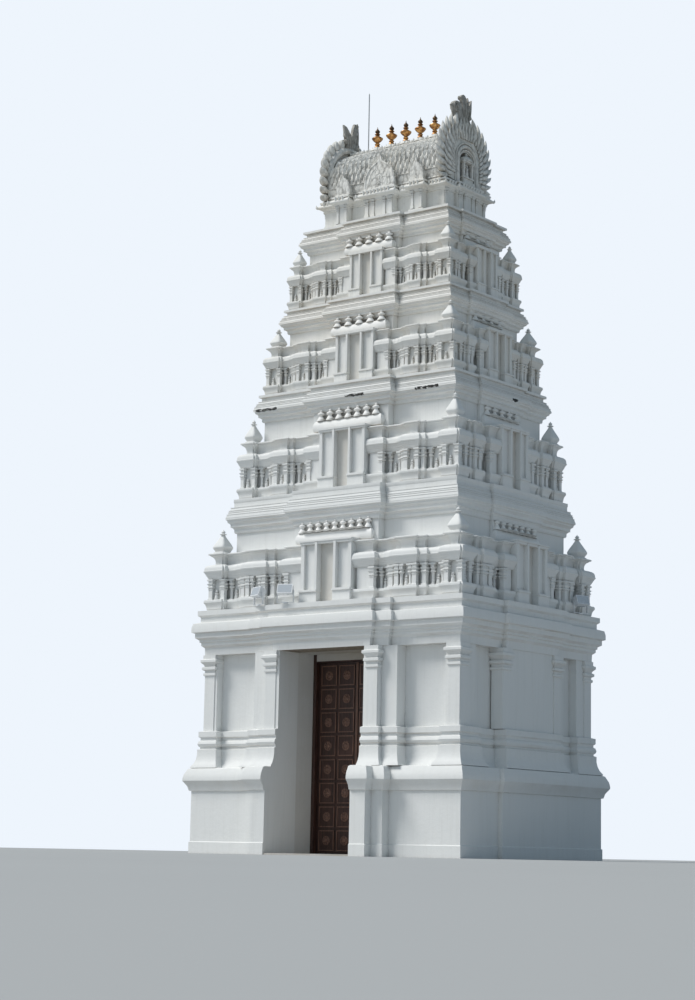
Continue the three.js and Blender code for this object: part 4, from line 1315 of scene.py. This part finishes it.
def wrapped(form, sign=-1):
    """Wraps a flat sheet round the vault: z becomes the angle down from the top, y the depth."""
    x, y, z = form.points.T
    angle, reach = z, VAULT_RADIUS - y
    bent = np.column_stack([x, sign * reach * np.sin(angle), VAULT_CENTRE + reach * np.cos(angle)])
    return Form(bent, form.faces)


rows = []
count = int(2 * VAULT_HALF / LEAF_PITCH)
for number, (angle, length, width, rise) in enumerate(LEAF_ROWS):
    one = leaf(length / VAULT_RADIUS, width, rise, curl=0.01, steps=5)
    for i in range(count):
        x = -VAULT_HALF + (i + (0.5 if number % 2 else 1.0)) * 2 * VAULT_HALF / count
        rows.append(one.moved(x, 0, angle))
for angle, radius in LINES:
    turns = np.arange(8) * math.pi / 4
    ring = [(math.cos(a) * radius, math.sin(a) * radius / VAULT_RADIUS) for a in turns]
    stations = np.linspace(-VAULT_HALF, VAULT_HALF, 12)
    rows.append(loft([np.array([(x, -y, angle + z) for y, z in ring]) for x in stations]))
sheet = together(rows)
piece("vault_leaves", together([wrapped(sheet), wrapped(sheet, 1)]), carved_plaster)

# %% [markdown]
# The ridge is a white curb along the top of the vault, with a crest of upright leaves and buds on each side.

# %% Ridge crest
CREST_LEAVES = 24
ridge = [
    slab(-VAULT_HALF, VAULT_HALF, -0.150, 0.150, RIDGE_TOP - 0.19, RIDGE_TOP - 0.02),
    slab(-VAULT_HALF, VAULT_HALF, -0.175, 0.175, RIDGE_TOP - 0.185, RIDGE_TOP - 0.150),
    slab(-VAULT_HALF, VAULT_HALF, -0.120, 0.120, RIDGE_TOP - 0.02, RIDGE_TOP),
]
upright = leaf(length=0.20, width=0.17, rise=0.060, curl=0.05, steps=5)
bud = lathe([(0, -0.075), (0.040, -0.055), (0.062, -0.02), (0.062, 0.02), (0.040, 0.055), (0, 0.075)], 8)
for i in range(CREST_LEAVES):
    x = -VAULT_HALF + (i + 0.5) * 2 * VAULT_HALF / CREST_LEAVES
    ridge.append(upright.moved(x, -0.148, RIDGE_TOP - 0.165))
    ridge.append(upright.turned(math.pi).moved(x, 0.148, RIDGE_TOP - 0.165))
    for y in (-0.155, 0.155):
        ridge.append(bud.moved(x + VAULT_HALF / CREST_LEAVES, y, RIDGE_TOP - 0.055))
piece("ridge_crest", together(ridge), white_plaster, replaces=["ridge"])

# %% [markdown]
# Three horseshoe dormers stand against each long side of the vault, a large one in the middle. A dormer is a
# low pediment: a rim of leaves that climbs to a neck and a knob, inside it a second roll, and in the field
# scrolls and leaves that mirror each other.

# %% Dormers
KNOB_PROFILE = [
    (0.000, 0.00), (0.075, 0.00), (0.060, 0.05), (0.044, 0.10), (0.052, 0.14), (0.085, 0.18), (0.098, 0.23),
    (0.088, 0.28), (0.060, 0.31), (0.066, 0.335), (0.040, 0.37), (0.000, 0.42),
]
DORMER_DRAWN_FOR = 0.56  # half width of the dormer that its rolls and leaves were drawn for


def dormer(half, height, depth):
    """A dormer that faces the front, with its foot at the origin and its face at y = 0."""
    rim = [
        (half, 0.0), (1.02 * half, 0.16 * height), (0.97 * half, 0.33 * height), (0.84 * half, 0.48 * height),
        (0.62 * half, 0.60 * height), (0.36 * half, 0.67 * height), (0.16 * half, 0.73 * height),
        (0.10 * half, 0.80 * height),
    ]
    left = [(-x, z) for x, z in reversed(rim)]
    path = np.array(rim)
    forms = [prism(rim + left, 0.0, depth)]
    unit = half / DORMER_DRAWN_FOR
    for line in (path, path * (-1, 1)):
        forms.append(tube(line[:-1], -0.005, 0.040 * unit))
        inner = line[:6] * (0.74, 0.84)
        forms.append(tube(inner, -0.012, 0.026 * unit))
    for k in range(1, 7):
        outward_x, outward_z = path[k][0] / half, 0.55 + path[k][1] / height
        x, z = path[k][0] * 0.97, path[k][1] * 0.98
        tip = (x + 0.10 * unit * outward_x, z + 0.13 * unit * outward_z)
        for side in (-1, 1):
            forms.append(flame((side * x * 0.9, z - 0.03), (side * tip[0], tip[1]), 0.085 * unit, 0.10 * unit,
                               y=0.01, bow=-0.15 * side, steps=5, sides=6))
    for side in (-1, 1):
        for x, z, size, start in ((0.30, 0.20, 0.15, 0.5), (0.42, 0.38, 0.11, 2.0), (0.17, 0.47, 0.10, 3.6)):
            line = np.array(scroll(x * half, z * height, size * unit, start=start)) * (side, 1)
            forms.append(tube(line, -0.012, np.linspace(0.030, 0.012, len(line)) * unit, 6))
        for x, z, lean in ((0.12, 0.06, 0.1), (0.52, 0.04, -0.3), (0.62, 0.22, -0.4), (0.30, 0.52, 0.2)):
            sprig = leaf(0.20 * unit, 0.085 * unit, 0.035 * unit, 0.01, steps=4).turned(side * -lean, "Y")
            forms.append(sprig.moved(side * x * half, -0.002, z * height))
    figure = lathe(FIGURE_PROFILE, 10).sized(0.9 * unit, 0.7 * unit, 0.75 * unit)
    forms.append(figure.moved(0, -0.02, 0.10 * height))
    top = height * 0.74
    scale = (height - top) / KNOB_PROFILE[-1][1]
    forms.append(lathe(KNOB_PROFILE, 12).sized(scale * 1.1, scale * 1.1, scale).moved(0, 0.06 * unit, top))
    base = slab(-1.06 * half, 1.06 * half, -0.05 * unit, depth, -0.02, 0.045 * unit)
    return together(forms + [base])


large = dormer(half=0.555, height=1.165, depth=0.30).moved(0, -1.375, EAVE_TOP)
small = mirrored(dormer(half=0.262, height=0.76, depth=0.22).moved(1.45, -1.40, EAVE_TOP))
dormers = together([large, small])
piece("dormers", together([dormers, dormers.turned(math.pi)]), carved_plaster)

# %% [markdown]
# The gables are great horseshoes, shaped here as if they faced the front and turned to their ends later. The
# edge of a gable and its rows of flames follow one curve: an arch above the middle, and below it sides that
# run nearly straight down. flame_row() sets flames between two such curves, leaning over towards the top,
# so that one function makes every row, fat or fine.

# %% The curve of a gable
GABLE_MIDDLE = 21.90
PLATE_FRONT, PLATE_BACK = -(VAULT_HALF + 0.20), -(VAULT_HALF + 0.01)
FLAME_FIRST, FLAME_LAST = -0.62, 1.22


def spread_at(angle):
    """The half width of a gable at an angle above or below its middle, as a share of the widest."""
    return math.cos(angle if angle > 0 else 0.38 * angle)


def flame_row(foot, tip, y, width, thick, count, lag, bow, blunt=1.15):
    """Flames up both sides. foot and tip are the half widths and heights of the curves they run between."""
    forms = []
    for i in range(count):
        t = i / (count - 1)
        angle = FLAME_FIRST + t * (FLAME_LAST - FLAME_FIRST)
        start = angle - lag * (1 - 0.55 * t)
        low = (spread_at(start) * foot[0], max(GABLE_MIDDLE + math.sin(start) * foot[1], EAVE_TOP - 0.04))
        ahead = angle + 0.07
        high = (spread_at(ahead) * tip[0], GABLE_MIDDLE + math.sin(ahead) * tip[1])
        for side in (-1, 1):
            ends = (side * low[0], low[1]), (side * high[0], high[1])
            forms.append(flame(*ends, width, thick, y, side * bow, blunt=blunt))
    return forms


def rim_of(half, rise):
    """The outer edge of a gable, from its right foot over the top to its left foot."""
    edge = [(half * spread_at(a), max(GABLE_MIDDLE + rise * math.sin(a), EAVE_TOP))
            for a in np.linspace(-0.85, 0.5 * math.pi, 22)]
    return edge + [(-x, z) for x, z in reversed(edge[:-1])]


print("the edge of a gable has", len(rim_of(1.0, 1.0)), "points")

# %% [markdown]
# A fringe of flames climbs each side, fat tongues in the outer row and thinner ones over the plate. They are
# pointed on the right gable and blunt, like fingers, on the left one. Inside are arched rolls round a hole
# whose back is painted dark, painted shade of a deeper hole, and in it a small shrine: posts, a hood and a
# little figure, all turned or squared shapes.

# %% Gables
ARCH_MIDDLE = 21.75
HOLE_HALF, HOLE_RISE = 0.38, 0.32
HOOD_PROFILE = [
    (0.30, 0.0), (0.31, 0.03), (0.26, 0.10), (0.17, 0.15), (0.08, 0.18), (0.05, 0.22), (0.07, 0.25),
    (0.0, 0.32),
]


def small_shrine():
    """Posts, hood and figure for the arch of a gable, with the wall at y = 0."""
    z = EAVE_TOP
    forms = [
        slab(-0.30, 0.30, -0.16, 0.0, z, z + 0.10),
        slab(-0.26, 0.26, -0.12, 0.0, z + 0.10, z + 0.20),
        slab(-0.29, 0.29, -0.15, 0.0, z + 0.20, z + 0.25),
        slab(-0.30, 0.30, -0.17, 0.0, z + 0.72, z + 0.77),
    ]
    post = square_post([(half * 0.62, z_up * 0.54) for half, z_up in PILLAR_PROFILE])
    forms += [post.moved(side * 0.22, -0.09, z + 0.25) for side in (-1, 1)]
    forms.append(lathe(HOOD_PROFILE, 16).sized(1, 0.6, 1).moved(0, -0.03, z + 0.77))
    forms.append(lathe(FIGURE_PROFILE, 12).sized(1.3, 1.0, 1.05).moved(0, -0.06, z + 0.25))
    return together(forms)


def gable(pointed):
    """A gable that faces the front. Its outer flames are pointed, or blunt like fingers."""
    top_of_hole = arc(HOLE_HALF, HOLE_RISE, 0, ARCH_MIDDLE, 0, math.pi, 16)
    hole = [(HOLE_HALF, EAVE_TOP), *top_of_hole, (-HOLE_HALF, EAVE_TOP)]
    forms = [prism(rim_of(1.14, 1.09) + hole[::-1], PLATE_FRONT, PLATE_BACK)]
    for rx, rz, thick in ((0.43, 0.39, 0.032), (0.52, 0.50, 0.060), (0.62, 0.62, 0.028)):
        line = [(rx, EAVE_TOP), *arc(rx, rz, 0, ARCH_MIDDLE, 0, math.pi, 30), (-rx, EAVE_TOP)]
        forms.append(tube(line, PLATE_FRONT - 0.015, thick))
    forms.append(tube(rim_of(1.11, 1.06), PLATE_BACK - 0.01, 0.125))
    if pointed:
        forms += flame_row(foot=(1.02, 0.98), tip=(1.54, 1.50), y=PLATE_FRONT + 0.09,
                           width=0.20, thick=0.24, count=10, lag=0.30, bow=0.10, blunt=1.6)
    else:
        forms += flame_row(foot=(1.14, 1.09), tip=(1.50, 1.46), y=PLATE_FRONT + 0.09,
                           width=0.25, thick=0.28, count=9, lag=0.20, bow=0.06, blunt=3.5)
    forms += flame_row(foot=(0.86, 0.84), tip=(1.24, 1.19), y=PLATE_FRONT - 0.02,
                       width=0.15, thick=0.15, count=10, lag=0.40, bow=0.12)
    forms += flame_row(foot=(0.70, 0.70), tip=(0.96, 0.94), y=PLATE_FRONT - 0.02,
                       width=0.11, thick=0.09, count=12, lag=0.40, bow=0.10)
    for x in (-0.30, -0.18, -0.06, 0.06, 0.18, 0.30):
        low, high = (0.9 * x, 22.48), (1.25 * x, 23.10 - abs(x) * 0.4)
        forms.append(flame(low, high, 0.12, 0.10, PLATE_FRONT - 0.03, x * 0.5))
        low, high = (1.2 * x, 22.80), (1.3 * x, 23.30 - abs(x) * 0.5)
        forms.append(flame(low, high, 0.15, 0.16, PLATE_FRONT + 0.06, x * 0.5))
    forms.append(small_shrine().moved(0, PLATE_FRONT + 0.05))
    return together(forms)


def gable_niche():
    """The back of the arched hole, painted dark: painted shade."""
    half, top = HOLE_HALF + 0.01, ARCH_MIDDLE + HOLE_RISE + 0.01
    return slab(-half, half, PLATE_BACK - 0.03, PLATE_BACK, EAVE_TOP, top)


for name, quarter in (("right", 1), ("left", -1)):
    angle = quarter * math.pi / 2
    carving = gable(pointed=name == "right").turned(angle)
    piece(f"{name}_gable_carving", carving, gable_plaster, replaces=[f"{name}_gable"])
    # the back of the hole is painted nearly black: painted shade
    piece(f"{name}_gable_niche", gable_niche().turned(angle), painted_shade_plaster)

# %% [markdown]
# A horned crest stands on each gable, nearly black with weather, and its prongs lean to the front and to the
# back of the tower. The two crests differ. On the real one each is modelled in mortar over an iron core.
# Here the outline is cut from a thick sheet with rounded edges, and folds and curls are laid on both faces.

# %% Crests
RIGHT_CREST = [
    (-0.42, 22.98), (-0.52, 23.14), (-0.60, 23.30), (-0.64, 23.42), (-0.71, 23.53), (-0.60, 23.61),
    (-0.52, 23.69), (-0.40, 23.74), (-0.26, 23.74), (-0.16, 23.68), (-0.10, 23.58), (-0.07, 23.76),
    (-0.12, 23.82), (-0.21, 23.91), (-0.12, 24.00), (0.00, 24.05), (0.10, 24.01), (0.16, 23.90),
    (0.18, 23.76), (0.24, 24.01), (0.28, 23.92), (0.31, 23.72), (0.46, 23.98), (0.45, 23.80),
    (0.39, 23.62), (0.30, 23.46), (0.41, 23.38), (0.39, 23.28), (0.28, 23.32), (0.22, 23.26),
    (0.24, 23.10), (0.28, 22.98),
]  # (towards the back of the tower, height)
LEFT_CREST = [
    (-0.32, 22.98), (-0.30, 23.10), (-0.42, 23.18), (-0.40, 23.28), (-0.31, 23.33), (-0.42, 23.44),
    (-0.41, 23.56), (-0.46, 23.80), (-0.34, 23.78), (-0.22, 23.68), (-0.10, 23.56), (-0.03, 23.50),
    (0.02, 23.66), (0.06, 23.84), (0.12, 23.98), (0.24, 24.01), (0.36, 23.98), (0.32, 23.84),
    (0.27, 23.66), (0.28, 23.50), (0.24, 23.38), (0.36, 23.30), (0.32, 23.20), (0.24, 23.18),
    (0.28, 22.98),
]
RIGHT_FOLDS = [
    ((-0.36, 23.02), (-0.64, 23.50), 0.12), ((-0.06, 23.05), (-0.14, 23.92), 0.09),
    ((0.02, 23.05), (0.02, 24.01), 0.09), ((0.08, 23.05), (0.22, 23.97), 0.09),
    ((0.16, 23.05), (0.42, 23.92), 0.10), ((-0.20, 23.02), (-0.10, 23.60), 0.10),
]  # foot, tip, width
LEFT_FOLDS = [
    ((-0.24, 23.02), (-0.42, 23.76), 0.12), ((-0.12, 23.00), (-0.24, 23.68), 0.10),
    ((0.04, 23.00), (0.16, 23.96), 0.11), ((0.16, 23.00), (0.30, 23.96), 0.11),
    ((-0.03, 23.00), (-0.03, 23.50), 0.10),
]
# curls: place, size, thickness
RIGHT_CURLS = [(-0.42, 23.50, 0.17, 0.045), (0.34, 23.34, 0.06, 0.035), (-0.12, 23.90, 0.06, 0.030)]
LEFT_CURLS = [(-0.36, 23.23, 0.06, 0.035), (0.29, 23.25, 0.06, 0.035), (0.24, 23.92, 0.06, 0.030)]


def cushion(points, y, depth, inset=0.90):
    """A flat shape with rounded edges. Its outline is drawn in towards its middle at the front and back."""
    flat = np.asarray(points, float)
    middle = flat.mean(axis=0)
    rings = []
    for share, size in ((-1.0, inset), (-0.72, 0.97), (0.0, 1.0), (0.72, 0.97), (1.0, inset)):
        ring = middle + (flat - middle) * size
        rings.append(np.column_stack([ring[:, 0], np.full(len(ring), y + 0.5 * depth * share), ring[:, 1]]))
    return loft(rings)


def crest(shape, folds, curls, back):
    """A horned crest: a thick body, and folds that run up its prongs. back is the sign of the back's x."""
    y = -(VAULT_HALF + 0.04)
    forms = [cushion([(back * x, z) for x, z in shape], y, 0.10)]
    for low, high, width in folds:
        for depth in (y - 0.045, y + 0.045):
            ends = (back * low[0], low[1]), (back * high[0], high[1])
            forms.append(flame(*ends, width, 0.10, depth, back * 0.06))
        third = (low[0] + 0.35 * (high[0] - low[0]), low[1] + 0.35 * (high[1] - low[1]))
        ends = (back * low[0], low[1] - 0.05), (back * third[0], third[1])
        forms.append(flame(*ends, 1.5 * width, 0.30, y, 0.0))
    for x, z, size, thick in curls:
        line = np.array(scroll(back * x, z, size, start=math.pi / 2, hand=back))
        for depth in (y - 0.06, y + 0.06):
            forms.append(tube(line, depth, np.linspace(thick, 0.5 * thick, len(line))))
    return together(forms)


for name, quarter, parts in (("right", 1, (RIGHT_CREST, RIGHT_FOLDS, RIGHT_CURLS)),
                             ("left", -1, (LEFT_CREST, LEFT_FOLDS, LEFT_CURLS))):
    piece(f"{name}_crest", crest(*parts, quarter).turned(quarter * math.pi / 2), crest_plaster)

# %% [markdown]
# The five finials are hammered from copper sheet over a wooden core and gilded: a flared foot, a pot with
# a sharp waist line, a disc, and a bud with a spike, where the gold has gone. Each stands on a small white
# mound. They are turned on the lathe, and small lips mark the seams between the sheets.

# %% Finials
KALASAM_PROFILE = [
    (0.000, 0.060), (0.092, 0.062), (0.098, 0.078), (0.094, 0.100), (0.080, 0.118), (0.062, 0.136),
    (0.056, 0.152), (0.070, 0.166), (0.082, 0.182), (0.080, 0.200), (0.062, 0.214), (0.052, 0.230),
    (0.058, 0.246),
    (0.086, 0.268), (0.120, 0.300), (0.150, 0.336), (0.170, 0.372), (0.174, 0.384), (0.170, 0.396),
    (0.140, 0.416), (0.112, 0.432), (0.088, 0.452), (0.062, 0.474), (0.050, 0.490), (0.054, 0.502),
    (0.078, 0.514), (0.086, 0.526), (0.080, 0.538), (0.054, 0.550), (0.044, 0.562), (0.058, 0.580),
    (0.072, 0.604), (0.076, 0.624), (0.070, 0.646), (0.054, 0.668), (0.034, 0.690), (0.018, 0.716),
    (0.011, 0.745), (0.007, 0.772), (0.000, 0.790),
]
MOUND_PROFILE = [
    (0.230, -0.06), (0.222, -0.01), (0.190, 0.028), (0.140, 0.056), (0.104, 0.070), (0.000, 0.072),
]
KALASAMS, KALASAM_STEP, KALASAM_GIRTH = 5, 0.577, 1.06

kalasam = lathe(KALASAM_PROFILE, 28).sized(KALASAM_GIRTH, KALASAM_GIRTH, 1)
mounds = []
for i in range(KALASAMS):
    x = (i - KALASAMS // 2) * KALASAM_STEP
    piece(f"kalasam_skin_{i + 1}", kalasam.moved(x, 0, RIDGE_TOP), gold,
          replaces=[f"kalasam_{i + 1}"])
    mounds.append(lathe(MOUND_PROFILE, 20).moved(x, 0, RIDGE_TOP))
piece("finial_mounds", together(mounds), brightened_plaster)

# %% [markdown]
# The double doors are panelled in eight rows. Every panel gets a thin raised frame and a turned rosette with
# petals round a dome. They are cut separately and glued on, so they are pieces of their own here too, one
# for each leaf, and ride on it when it swings. On the inner face only the frames are repeated. What hands and
# weather touch is paler than the dark panels behind. A bead down each meeting edge closes the gap to the
# eye. Over the door, brown render hides most of the wooden head.

# %% Door rosettes
PETALS, PETAL_REACH, ROSETTE_SIZE = 8, 0.083, 1.25
PANEL_ROWS, PANEL_COLUMNS, PANEL_MARGIN = 8, 2, 0.090
FRAME_STRIP = 0.035
BEAD_GAP, BEAD_LAP, BEAD_DEEP = 0.002, 0.035, 0.012  # the gap runs to the middle of the doorway
ROSETTE = lathe([(0.0, 0.0), (0.115, 0.0), (0.115, 0.010), (0.100, 0.016), (0.085, 0.010), (0.060, 0.012),
                 (0.052, 0.026), (0.034, 0.038), (0.0, 0.042)], 20)
PETAL = lathe([(0.0, 0.0), (0.030, 0.0), (0.026, 0.012), (0.014, 0.019), (0.0, 0.021)], 8)


def door_dressing(node):
    """Rosettes, panel frames and meeting bead of one leaf. The left leaf mirrors the right one."""
    low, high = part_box(node)
    side = 1 if high.x > 0 else -1
    meeting, hinge = (abs(low.x), abs(high.x)) if side > 0 else (abs(high.x), abs(low.x))
    width = (hinge - meeting - PANEL_MARGIN) / PANEL_COLUMNS
    height = (high.z - low.z - PANEL_MARGIN) / PANEL_ROWS
    rosette = [ROSETTE]
    for k in range(PETALS):
        a = 2 * math.pi * k / PETALS
        rosette.append(PETAL.moved(PETAL_REACH * math.cos(a), PETAL_REACH * math.sin(a), 0.008))
    flower = together(rosette).turned(math.pi / 2, "X").sized(ROSETTE_SIZE, 1.0, ROSETTE_SIZE)
    forms = []
    for row in range(PANEL_ROWS):
        for column in range(PANEL_COLUMNS):
            x0 = meeting + PANEL_MARGIN + column * width
            x1 = x0 + width - PANEL_MARGIN
            z0 = low.z + PANEL_MARGIN + row * height
            z1 = z0 + height - PANEL_MARGIN
            panel = [flower.moved((x0 + x1) / 2, low.y, (z0 + z1) / 2)]
            for y0, y1 in ((low.y - 0.016, low.y + 0.004), (high.y - 0.004, high.y + 0.012)):
                panel += [
                    slab(x0, x1, y0, y1, z0, z0 + FRAME_STRIP), slab(x0, x1, y0, y1, z1 - FRAME_STRIP, z1),
                    slab(x0, x0 + FRAME_STRIP, y0, y1, z0 + 0.03, z1 - 0.03),
                    slab(x1 - FRAME_STRIP, x1, y0, y1, z0 + 0.03, z1 - 0.03),
                ]
            forms.append(together(panel))
    forms.append(slab(BEAD_GAP, meeting + BEAD_LAP, low.y - BEAD_DEEP, low.y + BEAD_DEEP,
                      low.z + BEAD_DEEP, high.z - BEAD_DEEP))
    whole = together(forms)
    return whole if side > 0 else whole.sized(-1, 1, 1)


for leaf_name in ("left_door", "right_door"):
    piece(f"{leaf_name}_rosettes", door_dressing(leaf_name), worn_wood, body=leaf_name)

low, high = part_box("door_head")
apron = slab(low.x + 0.01, high.x - 0.01, low.y - 0.012, low.y + 0.004, low.z + 0.04, high.z)
piece("render_over_door", apron, doorway_plaster)
print("render over the door: front at", round(low.y - 0.012, 3), "underside at", round(low.z + 0.04, 3))

# %% [markdown]
# Three floodlights stand on the ledge of the ground storey. A real one is a die-cast housing with cooling
# fins at the back, a glass front in a frame, and a bent bracket that holds it at both sides.

# %% Floodlights
LAMP_TILT, LAMP_HEIGHT = math.radians(-20), 0.40


def lamp():
    """A floodlight with its foot at the origin, which shines to the front."""
    case = [
        slab(-0.235, 0.235, -0.115, 0.020, -0.145, 0.145), slab(-0.240, 0.240, -0.130, -0.110, -0.150, 0.150),
        slab(-0.150, 0.150, 0.020, 0.060, -0.100, 0.100),
    ]
    case += [slab(x - 0.008, x + 0.008, 0.018, 0.125, -0.120, 0.120) for x in np.linspace(-0.20, 0.20, 9)]
    case = together(case).turned(LAMP_TILT, "X").moved(0, 0, LAMP_HEIGHT)
    bracket = together([
        slab(-0.262, -0.244, -0.030, 0.030, 0.045, 0.430), slab(0.244, 0.262, -0.030, 0.030, 0.045, 0.430),
        slab(-0.262, 0.262, -0.030, 0.030, 0.030, 0.048), slab(-0.060, 0.060, -0.060, 0.060, 0.000, 0.032),
    ])
    glass = slab(-0.215, 0.215, -0.128, -0.120, -0.125, 0.125).sized(1, 1.02, 1)
    return together([case, bracket]), glass.turned(LAMP_TILT, "X").moved(0, 0, LAMP_HEIGHT)


LAMPS = [
    ("floodlight_1", -20, -2.37, -4.0), ("floodlight_2", 25, -1.23, -4.1), ("floodlight_3", 70, 5.08, 2.55),
]  # node, way it is turned in degrees, place
for node, angle, x, y in LAMPS:
    case, glass = lamp()
    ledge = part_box(node)[0].z
    turn_by = math.radians(angle)
    case, glass = (form.turned(turn_by).moved(x, y, ledge) for form in (case, glass))
    piece(f"{node}_case", case, lamp_paint, replaces=[node])
    piece(f"{node}_glass", glass, lamp_glass)

# %% [markdown]
# Last comes the floor. The floor isn't part of the tower. It is large enough to reach the horizon, and pale
# and matt, so that it throws soft light up under the ledges.

# %% Floor and finish
PALE_FLOOR, GREYER_FLOOR = (0.45, 0.46, 0.46), (0.42, 0.43, 0.43)
FLOOR_HALF = 400.0

ground = Recipe("studio_floor")
floor_place = ground.place()
floor_colour = ground.mix(PALE_FLOOR, GREYER_FLOOR, ground.noise(floor_place, 0.2))
ground.finish(Base_Color=floor_colour, Roughness=0.9)
floor_mesh = bpy.data.meshes.new("studio_floor")
floor_corners = [(x * FLOOR_HALF, y * FLOOR_HALF, 0) for x, y in ((-1, -1), (1, -1), (1, 1), (-1, 1))]
floor_mesh.from_pydata(floor_corners, [], [(0, 1, 2, 3)])
floor_mesh.materials.append(ground.material)
floor = bpy.data.objects.new("studio_floor", floor_mesh)
bpy.context.scene.collection.objects.link(floor)
